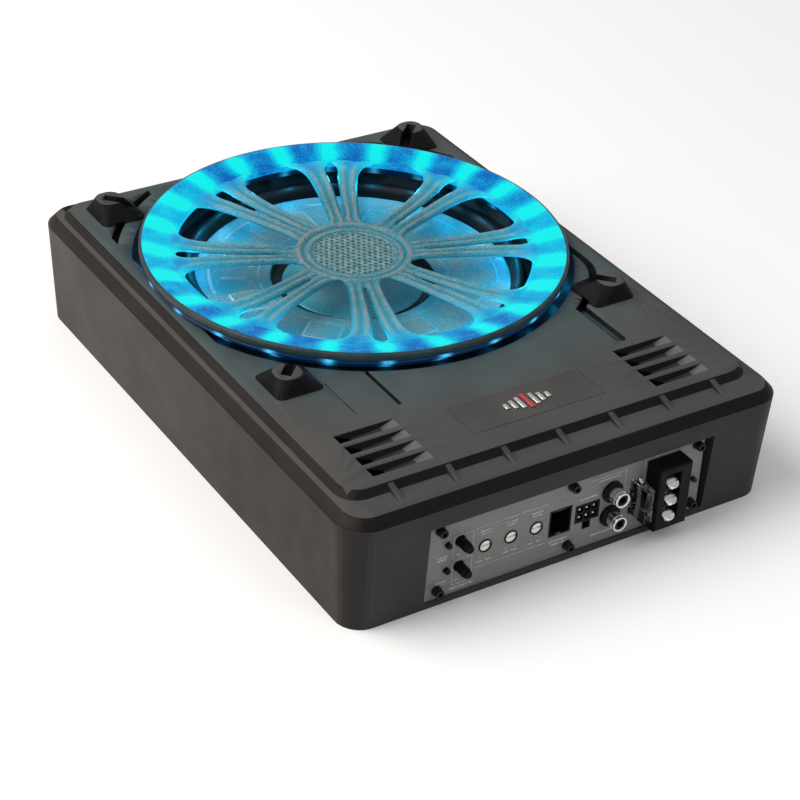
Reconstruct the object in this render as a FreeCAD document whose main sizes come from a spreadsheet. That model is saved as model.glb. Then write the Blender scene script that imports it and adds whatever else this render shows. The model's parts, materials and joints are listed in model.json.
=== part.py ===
import FreeCAD, Part
import math
import os
from types import SimpleNamespace

import Sketcher
from FreeCAD import Placement, Rotation, Vector

# Powered car subwoofer, in millimetres.
# The origin is at the middle of the underside of the case, +Z is up,
# the terminal panel is on the -Y end and +X runs to the right along it.

document = FreeCAD.newDocument("powered_subwoofer")

# Driving dimensions: alias, value, what it sets.
SIZES = [
    ("case_width", 250.0, "case, outside, at the rim"),
    ("case_length", 331.4, "case, outside, at the rim"),
    ("wall_top", 57.6, "top of the side walls"),
    ("ledge_top", 62.6, "ledge round the deck"),
    ("deck_top", 66.5, "deck, upper face"),
    ("wall", 3.0, "moulding thickness"),
    ("draft_inset", 3.1, "how far the walls lean in at the bottom"),
    ("corner_radius", 16.0, "vertical corners at the rim"),
    ("chamfer_inset", 4.7, "rim to the outer edge of the ledge"),
    ("step_inset", 7.7, "rim to the foot of the deck, sides and back"),
    ("deck_inset", 10.8, "rim to the edge of the deck, sides and back"),
    ("front_step_inset", 17.8, "rim to the foot of the deck, front"),
    ("front_deck_inset", 20.8, "rim to the edge of the deck, front"),
    ("deck_corner_radius", 10.0, "corners of the deck"),
    ("rib_pitch", 30.86, "gusset ribs across the front ledge"),
    ("rib_width", 3.0, "gusset rib"),
    ("rib_reach", 12.5, "gusset rib, deck edge to its foot"),
    ("base_thickness", 2.0, "steel base plate"),
    ("plate_gap", 0.3, "gap round a plate that drops into the moulding"),
    ("driver_back_distance", 124.7, "driver axis to the back of the case"),
    ("pad_radius", 132.0, "thick deck round the driver"),
    ("recess_radius", 116.5, "recess under the wheel"),
    ("recess_depth", 4.0, "recess under the wheel"),
    ("recess_half_width", 107.0, "flat sides of recess and groove"),
    ("recess_back", 108.0, "driver axis to the flat back of the recess"),
    ("groove_outer_radius", 128.4, "styling groove"),
    ("groove_width", 4.2, "styling groove"),
    ("groove_blend", 30.0, "rounding where the groove leaves its straight side"),
    ("groove_corner_x", 66.0, "inner end of the grooves at the back corners"),
    ("groove_corner_y", 50.0, "driver axis to the lower end of those grooves, at least"),
    ("channel_start", 101.0, "driver axis to the channel"),
    ("channel_width", 6.5, "channel at the right end of the groove"),
    ("channel_x", 74.25, "middle of the channel"),
    ("channel_length", 30.0, "channel"),
    ("channel_depth", 3.5, "channel and slot"),
    ("slot_x", 55.0, "narrow slot, distance left of the middle"),
    ("slot_width", 2.4, "narrow slot"),
    ("fine_line_x", 78.0, "fine line, distance left of the middle"),
    ("fine_line_width", 0.7, "fine line"),
    ("well_radius", 98.0, "well that the driver sits in"),
    ("seat_top", 54.0, "driver seat, upper face"),
    ("seat_inner_radius", 92.0, "hole in the driver seat"),
    ("tower_size", 27.0, "corner tower, base"),
    ("tower_top_size", 14.0, "corner tower, top"),
    ("tower_height", 8.5, "corner tower above the deck"),
    ("tower_x", 92.5, "corner tower from the middle"),
    ("tower_y", 94.0, "corner tower from the driver axis"),
    ("tower_lean", 3.0, "tower top, outward of its base"),
    ("tower_slot_width", 5.4, "slot in the tower top"),
    ("tower_slot_depth", 7.0, "slot in the tower top"),
    ("tower_ring_clearance", 1.8, "tower to the wheel"),
    ("vent_x", 80.5, "middle of the vents from the middle of the case"),
    ("vent_length", 33.8, "vent along X"),
    ("vent_width", 6.85, "vent along Y"),
    ("vent_pitch", 9.83, "vent rows"),
    ("vent_first_y", 63.3, "rim at the front to the rearmost vent edge"),
    ("vent_drop", 4.4, "depth of a vent at its open end"),
    ("vent_mouth", 9.5, "opening at the deep end of a vent"),
    ("vent_ramp", 8.0, "steep part of a vent's floor"),
    ("vent_ramp_drop", 3.2, "depth at the foot of the steep part"),
    ("badge_length", 76.6, "badge pocket along X"),
    ("badge_height", 23.9, "badge pocket along Y"),
    ("badge_front", 33.8, "rim at the front to the badge pocket"),
    ("badge_depth", 1.2, "badge pocket"),
    ("panel_setback", 4.2, "rim at the front to the outside of the panel"),
    ("panel_thickness", 2.0, "control panel"),
    ("panel_opening_width", 163.6, "opening in the front wall"),
    ("panel_opening_low", 3.1, "lower edge of the opening"),
    ("panel_opening_high", 47.6, "upper edge of the opening"),
    ("panel_right_gap", 2.7, "wider gap at the right end of the panel"),
    ("panel_screw_x", 74.4, "outer columns of panel screws"),
    ("panel_screw_low", 8.3, "lower row of panel screws"),
    ("panel_screw_high", 43.0, "upper row of panel screws"),
    ("panel_screw_head", 2.3, "radius of the screw heads"),
    ("panel_screw_head_height", 4.4, "height of the screw heads"),
    ("panel_screw_shank", 1.25, "radius of the screw shanks"),
    ("panel_boss_depth", 9.0, "screw bosses behind the panel"),
    ("panel_boss_half", 4.0, "half width of the bosses"),
    ("board_low", 11.4, "amplifier board, underside"),
    ("board_thickness", 1.6, "amplifier board"),
    ("board_half_width", 104.0, "amplifier board"),
    ("board_length", 90.0, "amplifier board along Y"),
    ("board_gap", 1.5, "board to the panel"),
    ("sink_left", 100.0, "left end of the heat sink from the middle"),
    ("sink_setback", 28.0, "front of the board to the heat sink"),
    ("sink_width", 64.0, "heat sink along X"),
    ("sink_length", 54.0, "heat sink along Y"),
    ("sink_height", 28.0, "heat sink"),
    ("sink_fin", 2.0, "heat sink fin"),
    ("transistor_pitch", 13.0, "output transistors"),
    ("capacitor_radius", 9.0, "filter capacitors"),
    ("capacitor_height", 32.0, "filter capacitors"),
    ("toroid_x", 58.0, "transformer from the middle"),
    ("toroid_radius", 20.0, "middle of the transformer's ring"),
    ("toroid_half_height", 11.0, "transformer"),
    ("base_screw_edge", 10.0, "rim to the base screws at the sides"),
    ("base_screw_back", 10.2, "rim to the base screws at the back"),
    ("base_screw_end", 21.0, "rim at front and back to the first screw of a side"),
    ("base_screw_middle", 50.0, "inner screws of a side, from the middle"),
    ("base_screw_across", 45.0, "screws along the back, from the middle"),
    ("base_boss_radius", 5.5, "bosses for the base screws"),
    ("base_boss_top", 30.0, "bosses for the base screws"),
    ("bracket_x", 92.0, "bracket nuts from the middle"),
    ("bracket_y", 125.0, "bracket nuts from the middle"),
    ("bracket_nut_bore", 2.5, "M5 thread, radius"),
    ("bracket_nut_radius", 3.5, "rivet nut body"),
    ("wheel_radius", 113.2, "wheel grille"),
    ("wheel_top", 74.0, "wheel grille, outer lip"),
    ("wheel_low", 67.3, "wheel grille, underside of the rim"),
    ("rim_inner_radius", 94.0, "inner edge of the rim"),
    ("rim_inner_top", 69.6, "rim height at its inner edge"),
    ("hub_top", 66.5, "hub of the wheel"),
    ("hub_radius", 28.0, "hub of the wheel"),
    ("hub_mesh_radius", 22.5, "perforated disc in the hub"),
    ("spoke_thickness", 3.2, "spokes"),
    ("bezel_outer_radius", 106.5, "light bezel"),
    ("bezel_floor", 3.5, "light bezel, floor thickness"),
    ("bezel_rim", 1.5, "light bezel, rims"),
    ("led_radius", 102.3, "circle of lamps"),
    ("driver_gap", 0.5, "flange to the well"),
    ("gasket_thickness", 1.0, "driver gasket"),
    ("sheet_thickness", 1.5, "driver basket sheet"),
    ("driver_screw_radius", 95.0, "circle of driver screws"),
    ("driver_screw_shank", 1.6, "radius of the driver screws"),
    ("cone_edge_radius", 84.0, "cone, outer edge"),
    ("cone_edge_top", 53.4, "cone, outer edge"),
    ("cap_radius", 38.0, "dust cap"),
    ("coil_radius", 25.0, "voice coil former, inside"),
    ("motor_low", 5.0, "motor, underside"),
    ("motor_plate", 6.0, "back plate thickness"),
    ("magnet_height", 11.5, "magnet ring"),
    ("magnet_radius", 52.0, "magnet ring"),
    ("top_plate", 5.0, "top plate thickness"),
    ("plate_radius", 50.0, "motor plates"),
    ("terminal_height", 6.0, "driver terminal"),
    ("trimmer_radius", 3.0, "slotted trimmer"),
    ("trimmer_pitch", 14.5, "trimmers along X"),
    ("trimmer_first_x", 48.3, "first trimmer, distance left of the middle"),
    ("trimmer_height", 25.0, "trimmers above the base"),
    ("running_gap", 0.05, "radial gap of a turning or sliding shaft"),
    ("button_radius", 2.7, "push buttons"),
    ("button_reach", 8.0, "push buttons in front of the panel"),
    ("button_travel", 3.0, "push buttons"),
    ("button_x", 62.5, "push buttons, distance left of the middle"),
    ("lamp_x", 69.6, "indicator lamps, distance left of the middle"),
    ("row_high", 33.0, "upper row of buttons and lamps"),
    ("row_low", 18.4, "lower row of buttons and lamps"),
    ("socket_x", -5.3, "remote socket, middle"),
    ("socket_width", 13.0, "remote socket"),
    ("socket_low", 16.2, "remote socket, lower edge"),
    ("socket_height", 15.4, "remote socket"),
    ("header_x", 10.5, "six-way header, middle"),
    ("header_width", 14.4, "six-way header"),
    ("header_low", 19.0, "six-way header, lower edge"),
    ("header_height", 10.6, "six-way header"),
    ("header_pitch", 4.2, "pins of the header"),
    ("jack_x", 24.3, "phono jacks"),
    ("jack_high", 31.6, "upper phono jack"),
    ("jack_pitch", 14.0, "phono jacks"),
    ("jack_radius", 4.15, "phono jack barrel"),
    ("jack_length", 9.3, "phono jack barrel in front of the panel"),
    ("jack_wall", 1.0, "wall of a phono jack barrel"),
    ("jack_neck_radius", 3.95, "phono jack barrel where it passes the panel"),
    ("jack_neck_length", 1.8, "panel to the full barrel of a phono jack"),
    ("jack_collar", 1.4, "thickness of the collar at the foot of a phono jack"),
    ("jack_pin_radius", 1.65, "hole for the plug's pin"),
    ("fuse_x", 38.8, "fuse slot, middle"),
    ("fuse_slot_width", 6.3, "fuse slot"),
    ("fuse_slot_low", 13.8, "fuse slot"),
    ("fuse_slot_height", 20.7, "fuse slot"),
    ("fuse_thickness", 5.1, "blade fuse body"),
    ("fuse_height", 19.1, "blade fuse body"),
    ("fuse_reach", 12.0, "blade fuse in front of the panel"),
    ("block_x", 54.5, "terminal block, middle"),
    ("block_width", 19.6, "terminal block"),
    ("block_low", 6.5, "terminal block"),
    ("block_height", 36.0, "terminal block"),
    ("block_reach", 10.5, "terminal block in front of the panel"),
    ("clamp_x", 53.3, "clamp screws"),
    ("clamp_high", 33.5, "upper clamp screw"),
    ("clamp_pitch", 9.6, "clamp screws"),
    ("clamp_radius", 3.6, "clamp screw heads"),
    ("clamp_tilt", 55.0, "clamp screw axis above the horizontal, degrees"),
    ("clamp_seat", 1.2, "depth of a clamp screw's seat below its centre"),
    ("clamp_shank", 1.6, "radius of a clamp screw's shank"),
]


class Dim:
    """A length that is both a number and the spreadsheet formula that gives it."""

    def __init__(self, value, text):
        self.value = float(value)
        self.text = text

    @staticmethod
    def of(other):
        return other if isinstance(other, Dim) else Dim(other, "%.6g" % other)

    def __add__(self, other):
        other = Dim.of(other)
        return Dim(self.value + other.value, "(%s + %s)" % (self.text, other.text))

    def __sub__(self, other):
        other = Dim.of(other)
        return Dim(self.value - other.value, "(%s - %s)" % (self.text, other.text))

    def __mul__(self, other):
        other = Dim.of(other)
        return Dim(self.value * other.value, "(%s * %s)" % (self.text, other.text))

    def __truediv__(self, other):
        other = Dim.of(other)
        return Dim(self.value / other.value, "(%s / %s)" % (self.text, other.text))

    def __neg__(self):
        return Dim(-self.value, "(0 - %s)" % self.text)

    def __float__(self):
        return self.value

    __radd__ = __add__
    __rmul__ = __mul__

    def __rsub__(self, other):
        return Dim.of(other) - self


def fill_sheet():
    """Write the sizes into a spreadsheet and return them as named Dims."""
    sheet = document.addObject("Spreadsheet::Sheet", "Sizes")
    for row, (alias, value, note) in enumerate(SIZES, start=1):
        sheet.set("A%d" % row, alias)
        sheet.set("B%d" % row, "%g" % value)
        sheet.setAlias("B%d" % row, alias)
        sheet.set("C%d" % row, note)
    document.recompute()
    dims = {alias: Dim(sheet.get(alias), "Sizes." + alias) for alias, _, _ in SIZES}
    return SimpleNamespace(**dims)


s = fill_sheet()

# Planes and points that many pieces share.
front_y = -s.case_length / 2
back_y = s.case_length / 2
driver_y = back_y - s.driver_back_distance
panel_y = front_y + s.panel_setback
panel_back_y = panel_y + s.panel_thickness
recess_floor = s.deck_top - s.recess_depth
board_top = s.board_low + s.board_thickness
flange_low = s.seat_top + s.gasket_thickness
magnet_low = s.motor_low + s.motor_plate
top_plate_low = magnet_low + s.magnet_height
top_plate_high = top_plate_low + s.top_plate
terminal_top = s.seat_top - s.wall - 0.5
terminal_low = terminal_top - s.terminal_height
base_screw_places = [(side * (s.case_width / 2 - s.base_screw_edge), y)
                     for side in (-1, 1)
                     for y in (front_y + s.base_screw_end, -s.base_screw_middle,
                               s.base_screw_middle, back_y - s.base_screw_end)]
base_screw_places += [(side * s.base_screw_across, back_y - s.base_screw_back)
                      for side in (-1, 1)]
panel_screw_places = [(x, z) for x in (-s.panel_screw_x, Dim.of(0), s.panel_screw_x)
                      for z in (s.panel_screw_low, s.panel_screw_high)]
bracket_places = [(x * s.bracket_x, y * s.bracket_y) for x in (-1, 1) for y in (-1, 1)]
jack_heights = (s.jack_high, s.jack_high - s.jack_pitch)
trimmer_places = [-s.trimmer_first_x + index * s.trimmer_pitch for index in range(3)]
clamp_heights = [s.clamp_high - index * s.clamp_pitch for index in range(3)]

TURN = {"up": Rotation(), "front": Rotation(Vector(1, 0, 0), 90),
        "back": Rotation(Vector(1, 0, 0), -90)}
nodes = []


def bind(target, name, dim):
    """Tie one property of an object to the spreadsheet."""
    target.setExpression(name, Dim.of(dim).text)


def place(target, at, turn="up"):
    """Put an object at a point given by three Dims, with a fixed turn."""
    base = Vector(*(float(Dim.of(value)) for value in at))
    target.Placement = Placement(base, TURN[turn])
    for axis, value in zip("xyz", at):
        if isinstance(value, Dim):
            bind(target, "Placement.Base." + axis, value)


def keep(target, label):
    """Name a finished sub-part and list it for export."""
    target.Label = label
    nodes.append(target)
    return target


def box(low, high):
    """A box between two corners."""
    solid = document.addObject("Part::Box", "box")
    for name, a, b in zip(("Length", "Width", "Height"), low, high):
        bind(solid, name, Dim.of(b) - Dim.of(a))
    place(solid, low)
    return solid


def cylinder(radius, length, at, turn="up"):
    """A cylinder from a point, along one of the named directions."""
    solid = document.addObject("Part::Cylinder", "cylinder")
    bind(solid, "Radius", radius)
    bind(solid, "Height", length)
    place(solid, at, turn)
    return solid


def fuse(pieces):
    """One object from several."""
    if len(pieces) == 1:
        return pieces[0]
    union = document.addObject("Part::MultiFuse", "union")
    union.Shapes = pieces
    return union


def cut(base, tools):
    """A base less several tools."""
    difference = document.addObject("Part::Cut", "difference")
    difference.Base = base
    difference.Tool = fuse(tools)
    return difference


def shaped(label, shape, at=(0, 0, 0)):
    """A sub-part whose shape is worked out here from the sheet."""
    feature = document.addObject("Part::Feature", label)
    feature.Shape = shape
    place(feature, at)
    return keep(feature, label)


def new_body(label, at):
    body = document.addObject("PartDesign::Body", label)
    place(body, at)
    return keep(body, label)


def sketch_on(body, role, name, offset=None):
    """An empty sketch on one of the body's own origin planes."""
    plane = [item for item in body.Origin.OriginFeatures if item.Role == role][0]
    sketch = body.newObject("Sketcher::SketchObject", name)
    sketch.AttachmentSupport = [(plane, "")]
    sketch.MapMode = "FlatFace"
    if offset is not None:
        sketch.setExpression("AttachmentOffset.Base.z", Dim.of(offset).text)
    return sketch


def fix_point(sketch, geometry, vertex, point):
    """Hold one vertex at a pair of distances from the sketch origin."""
    for kind, value in zip(("DistanceX", "DistanceY"), point):
        value = Dim.of(value)
        if value.value == 0.0:
            on_axis = "PointOnObject"
            axis = -2 if kind == "DistanceX" else -1
            sketch.addConstraint(Sketcher.Constraint(on_axis, geometry, vertex, axis))
            continue
        index = sketch.addConstraint(
            Sketcher.Constraint(kind, -1, 1, geometry, vertex, value.value))
        bind(sketch, "Constraints[%d]" % index, value)


def draw_outline(sketch, points):
    """A closed outline of straight lines, each corner fixed."""
    corners = [Vector(float(Dim.of(x)), float(Dim.of(y)), 0) for x, y in points]
    first = sketch.GeometryCount
    count = len(corners)
    for index, corner in enumerate(corners):
        sketch.addGeometry(Part.LineSegment(corner, corners[(index + 1) % count]), False)
    for index in range(count):
        following = first + (index + 1) % count
        sketch.addConstraint(
            Sketcher.Constraint("Coincident", first + index, 2, following, 1))
    for index, point in enumerate(points):
        fix_point(sketch, first + index, 1, point)


def draw_circle(sketch, radius, centre=(0, 0)):
    middle = Vector(float(Dim.of(centre[0])), float(Dim.of(centre[1])), 0)
    index = sketch.addGeometry(Part.Circle(middle, Vector(0, 0, 1), float(radius)), False)
    fix_point(sketch, index, 3, centre)
    held = sketch.addConstraint(Sketcher.Constraint("Radius", index, float(radius)))
    bind(sketch, "Constraints[%d]" % held, radius)


def rectangle(low, high):
    return [(low[0], low[1]), (high[0], low[1]), (high[0], high[1]), (low[0], high[1])]


def revolved(label, outline, at):
    """A body turned from an outline of (radius, height) corners."""
    body = new_body(label, at)
    sketch = sketch_on(body, "XZ_Plane", label + "_profile")
    draw_outline(sketch, outline)
    turned = body.newObject("PartDesign::Revolution", label + "_turned")
    turned.Profile = sketch
    turned.ReferenceAxis = (sketch, ["V_Axis"])
    turned.Angle = 360
    return body


def ring_pad(label, outer, inner, height, at):
    """A flat ring, from two circles."""
    body = new_body(label, at)
    sketch = sketch_on(body, "XY_Plane", label + "_circles")
    draw_circle(sketch, outer)
    draw_circle(sketch, inner)
    raised = body.newObject("PartDesign::Pad", label + "_pad")
    raised.Profile = sketch
    bind(raised, "Length", height)
    return body


def polar(radius, degrees, height=0.0):
    angle = math.radians(degrees)
    return Vector(float(radius) * math.cos(angle), float(radius) * math.sin(angle), height)


def round_outline(half_x, low_y, high_y, radius, height):
    """A rectangle with round corners, as a wire at one height."""
    half_x, low_y, high_y = float(half_x), float(low_y), float(high_y)
    corners = [(half_x, low_y, 270), (half_x, high_y, 0),
               (-half_x, high_y, 90), (-half_x, low_y, 180)]
    arcs = []
    for x, y, start in corners:
        middle = Vector(x - math.copysign(radius, x),
                        y + (radius if y == low_y else -radius), height)
        arcs.append(Part.makeCircle(radius, middle, Vector(0, 0, 1), start, start + 90))
    edges = []
    for index, arc in enumerate(arcs):
        following = arcs[(index + 1) % 4]
        edges.append(arc)
        edges.append(Part.makeLine(arc.Vertexes[-1].Point, following.Vertexes[0].Point))
    return Part.Wire(edges)


def case_outline(inset, height, front_inset=None, radius=None):
    """The rim outline, moved inwards."""
    inset = float(inset)
    front = inset if front_inset is None else float(front_inset)
    if radius is None:
        radius = max(float(s.corner_radius) - inset, 4.0)
    return round_outline(s.case_width / 2 - inset, front_y + front, back_y - inset,
                         float(radius), float(height))


def loft(low, high):
    return Part.makeLoft([low, high], True, True)


def block(low, high):
    """A box between two corners, as a shape."""
    low = Vector(*(float(Dim.of(value)) for value in low))
    high = Vector(*(float(Dim.of(value)) for value in high))
    return Part.makeBox(high.x - low.x, high.y - low.y, high.z - low.z, low)


def rod(radius, low, high, x=0.0, y=None):
    """An upright cylinder between two heights, on the driver axis by default."""
    y = driver_y if y is None else y
    return Part.makeCylinder(float(radius), float(high) - float(low),
                             Vector(float(x), float(y), float(low)))


def prism(points, normal_length, direction):
    """A polygon carried along a direction."""
    wire = Part.makePolygon([Vector(*point) for point in points + points[:1]])
    return Part.Face(wire).extrude(direction * normal_length)


# ---------------------------------------------------------------- top shell

def shell_hollow():
    """Walls, chamfer, ledge and deck, all of one thickness."""
    outside = loft(case_outline(s.draft_inset, 0), case_outline(0, s.wall_top))
    outside = outside.fuse([
        loft(case_outline(0, s.wall_top), case_outline(s.chamfer_inset, s.ledge_top)),
        loft(case_outline(s.step_inset, s.ledge_top, s.front_step_inset,
                          s.deck_corner_radius + 2),
             case_outline(s.deck_inset, s.deck_top, s.front_deck_inset,
                          s.deck_corner_radius))])
    inside = loft(case_outline(s.draft_inset + s.wall, 0),
                  case_outline(s.wall, s.wall_top))
    under_ledge = s.ledge_top - s.wall
    roof = case_outline(s.deck_inset + s.wall, under_ledge, s.front_deck_inset + s.wall,
                        s.deck_corner_radius - s.wall)
    inside = inside.fuse([
        loft(case_outline(s.wall, s.wall_top),
             case_outline(s.wall + s.chamfer_inset, under_ledge)),
        Part.Face(roof).extrude(Vector(0, 0, float(s.deck_top - s.ledge_top)))])
    return outside.cut(inside)


def clipped_disc(radius, half_width, back, low, high, blend=0.0):
    """A disc on the driver axis with flat sides and back, its upright corners rounded."""
    disc = rod(radius, low, high)
    window = block((-half_width, driver_y - radius, low),
                   (half_width, driver_y + back, high))
    disc = disc.common(window)
    if float(blend) == 0.0:
        return disc
    upright = [edge for edge in disc.Edges
               if abs(edge.tangentAt(edge.FirstParameter).z) > 0.9
               and abs(edge.CenterOfMass.x) > 1.0]
    return disc.makeFillet(float(blend), upright)


def grooves(above):
    """The groove that leaves the channel, and the short arcs at the back corners."""
    inner_radius = s.groove_outer_radius - s.groove_width
    outer = clipped_disc(s.groove_outer_radius, s.recess_half_width, s.groove_outer_radius,
                         recess_floor, above, s.groove_blend)
    inner = clipped_disc(inner_radius, s.recess_half_width - s.groove_width, inner_radius,
                         recess_floor - 1, above + 1, s.groove_blend)
    side = block((s.channel_x - s.channel_width / 2, driver_y - s.groove_outer_radius,
                  recess_floor), (s.recess_half_width, driver_y, above))
    pieces = [outer.cut(inner).common(side)]
    ring = rod(s.groove_outer_radius, recess_floor, above).cut(
        rod(inner_radius, recess_floor, above))
    for x in (-s.recess_half_width, s.groove_corner_x):
        corner = block((x, driver_y + s.groove_corner_y, recess_floor),
                       (x + s.recess_half_width - s.groove_corner_x,
                        driver_y + s.groove_outer_radius, above))
        pieces.append(ring.common(corner))
    return pieces


def driver_pad():
    """The thick part of the deck round the driver, with the well below it."""
    under = recess_floor - s.wall
    pad = clipped_disc(s.pad_radius, s.recess_half_width + s.wall,
                       s.recess_back + s.wall, under, s.deck_top)
    well = rod(s.well_radius + s.wall, s.seat_top - s.wall, recess_floor)
    return [pad, well]


def driver_hollows():
    """Recess, groove, well and seat opening."""
    above = s.deck_top + 1
    recess = clipped_disc(s.recess_radius, s.recess_half_width, s.recess_back,
                          recess_floor, above)
    well = rod(s.well_radius, s.seat_top, above)
    opening = rod(s.seat_inner_radius, 0, above)
    hollows = [recess, well, opening] + grooves(above)
    for degrees in driver_screw_angles:
        spot = polar(s.driver_screw_radius, degrees)
        hollows.append(rod(1.6, s.seat_top - s.wall - 1, s.seat_top + 1,
                           spot.x, driver_y + spot.y))
    for degrees in bezel_screw_angles:
        spot = polar(bezel_screw_radius, degrees)
        hollows.append(rod(1.7, recess_floor - s.wall - 1, recess_floor + 1,
                           spot.x, driver_y + spot.y))
    return hollows


def channel_parts():
    """Backing under the channels in the thin deck, and what is cut into them."""
    start = driver_y - s.channel_start
    end = start - s.channel_length - 4
    floor = s.deck_top - s.channel_depth
    above = s.deck_top + 1
    half = s.channel_width / 2
    backing_low = floor - s.wall
    backing = []
    for x in (s.channel_x, -s.slot_x):
        backing.append(block((x - half - s.wall, end - half - s.wall, backing_low),
                             (x + half + s.wall, start, s.deck_top - 0.5)))
    hollows = [block((s.channel_x - half, end, floor), (s.channel_x + half, start, above)),
               rod(half, floor, above, s.channel_x, end),
               block((-s.slot_x - s.slot_width / 2, end, floor),
                     (-s.slot_x + s.slot_width / 2, start - 2, above)),
               block((-s.fine_line_x - s.fine_line_width / 2, end + 2, s.deck_top - 0.8),
                     (-s.fine_line_x + s.fine_line_width / 2, start - 2, above))]
    return backing, hollows


def tower(x_side, y_side):
    """A corner tower: leaning square frustum, notched towards the wheel."""
    sunk = float(s.deck_top) - 0.5
    top = float(s.deck_top + s.tower_height)
    middle = Vector(x_side * float(s.tower_x), float(driver_y) + y_side * float(s.tower_y), 0)
    lean = Vector(x_side, y_side, 0) * float(s.tower_lean)
    low = round_outline(s.tower_size / 2, -s.tower_size / 2, s.tower_size / 2, 3.5, sunk)
    high = round_outline(s.tower_top_size / 2, -s.tower_top_size / 2,
                         s.tower_top_size / 2, 6.0, top)
    low.translate(middle)
    high.translate(middle + lean)
    body = loft(low, high)
    body = body.cut(rod(s.wheel_radius + s.tower_ring_clearance, sunk - 1, top + 1))
    slot_width = float(s.tower_slot_width)
    slot = Part.makeBox(30, slot_width, float(s.tower_slot_depth) + 1,
                        Vector(-3.2, -slot_width / 2, top - float(s.tower_slot_depth)))
    towards_axis = math.degrees(math.atan2(-y_side, -x_side))
    slot.Placement = Placement(middle + lean, Rotation(Vector(0, 0, 1), towards_axis))
    return body.cut(slot)


def vent(side, row):
    """One louvre: a hole through the deck and the ramp below it."""
    x_low = side * s.vent_x - s.vent_length / 2
    x_high = side * s.vent_x + s.vent_length / 2
    y_high = front_y + s.vent_first_y - row * s.vent_pitch
    y_low = y_high - s.vent_width
    top = float(s.deck_top)
    hole = block((x_low, y_low, top - 9), (x_high, y_high, top + 1))
    mouth = float(x_low + s.vent_mouth)
    deep = top - float(s.vent_drop)
    under = 1.8
    edge = float(y_low)
    foot = float(x_high - s.vent_ramp)
    foot_z = top - float(s.vent_ramp_drop)
    ramp = prism([(float(x_high), edge, top), (foot, edge, foot_z), (mouth, edge, deep),
                  (mouth, edge, deep - under), (foot, edge, foot_z - under),
                  (float(x_high), edge, top - under - 1.0)],
                 float(s.vent_width), Vector(0, 1, 0))
    side_wall = 1.2
    walls = [block((x_low - side_wall, y_low - side_wall, deep - under),
                   (x_high, y_low, top - 1)),
             block((x_low - side_wall, y_high, deep - under),
                   (x_high, y_high + side_wall, top - 1)),
             block((x_low - side_wall, y_low - side_wall, deep - under),
                   (x_low, y_high + side_wall, top - 1))]
    return hole, [ramp] + walls


def gusset(x):
    """A rib from the deck edge down to the front ledge."""
    top = float(s.deck_top)
    ledge = float(s.ledge_top) - 0.5
    start = float(front_y + s.front_deck_inset) + 2
    foot = float(front_y + s.front_deck_inset - s.rib_reach)
    left = x - float(s.rib_width) / 2
    return prism([(left, start, top), (left, foot + 3, float(s.ledge_top) + 0.6),
                  (left, foot, ledge), (left, start, ledge)],
                 float(s.rib_width), Vector(1, 0, 0))


def panel_frame():
    """Shelves inside the front wall and the bosses that the panel is screwed to."""
    half = s.panel_opening_width / 2
    low = s.panel_opening_low
    high = s.panel_opening_high
    outside = front_y + s.draft_inset + 0.5
    inside = panel_back_y + s.panel_boss_depth
    cheek = panel_back_y + s.board_gap - s.plate_gap
    shelves = [block((-half - s.wall, outside, high), (half + s.wall, inside, high + s.wall)),
               block((-half - s.wall, outside, s.base_thickness + 0.2),
                     (half + s.wall, inside, low)),
               block((-half - s.wall, outside, s.base_thickness + 0.2),
                     (-half, cheek, high + s.wall)),
               block((half, outside, s.base_thickness + 0.2),
                     (half + s.wall, cheek, high + s.wall))]
    for x, z in panel_screw_places:
        at_top = float(z) > float(low + high) / 2
        z_low = z - 2.7 if at_top else low - 0.5
        z_high = high + 0.5 if at_top else z + 2.7
        shelves.append(block((x - s.panel_boss_half, panel_back_y, z_low),
                             (x + s.panel_boss_half, inside, z_high)))
    return shelves


def panel_holes():
    half = s.panel_opening_width / 2
    holes = [block((-half, front_y - 1, s.panel_opening_low),
                   (half, panel_back_y, s.panel_opening_high))]
    for x, z in panel_screw_places:
        holes.append(Part.makeCylinder(float(s.panel_screw_shank), panel_screw_length + 0.5,
                                       Vector(float(x), float(panel_y), float(z)),
                                       Vector(0, 1, 0)))
    return holes


def base_bosses():
    return [rod(s.base_boss_radius, s.base_thickness, s.base_boss_top, x, y)
            for x, y in base_screw_places]


def base_boss_holes():
    return [rod(base_screw_shank, 0, s.base_thickness + base_screw_length + 1, x, y)
            for x, y in base_screw_places]


driver_screw_angles = [22.5 + 45 * index for index in range(8)]
bezel_screw_angles = [45 + 90 * index for index in range(4)]
bezel_screw_radius = s.led_radius + 1.7
base_screw_shank = Dim.of(1.5)
base_screw_length = Dim.of(12)
panel_screw_length = 9.5
base_head_radius = Dim.of(3.0)
base_head_height = Dim.of(1.0)


def top_shell():
    shell = shell_hollow()
    backing, channels = channel_parts()
    vents = [vent(side, row) for side in (-1, 1) for row in range(4)]
    added = driver_pad() + backing + panel_frame() + base_bosses()
    added += [tower(x, y) for x in (-1, 1) for y in (-1, 1)]
    added += [gusset(index * float(s.rib_pitch)) for index in range(-3, 4)]
    shell = shell.fuse(added)
    shell = shell.cut([hole for hole, _ in vents])
    shell = shell.fuse([piece for _, pieces in vents for piece in pieces])
    pocket = block((-s.badge_length / 2, front_y + s.badge_front, s.deck_top - s.badge_depth),
                   (s.badge_length / 2, front_y + s.badge_front + s.badge_height,
                    s.deck_top + 1))
    removed = driver_hollows() + channels + panel_holes() + base_boss_holes() + [pocket]
    shell = shell.cut(removed).removeSplitter()
    shaped("top_shell", shell)


# ---------------------------------------------------------------- base

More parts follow.
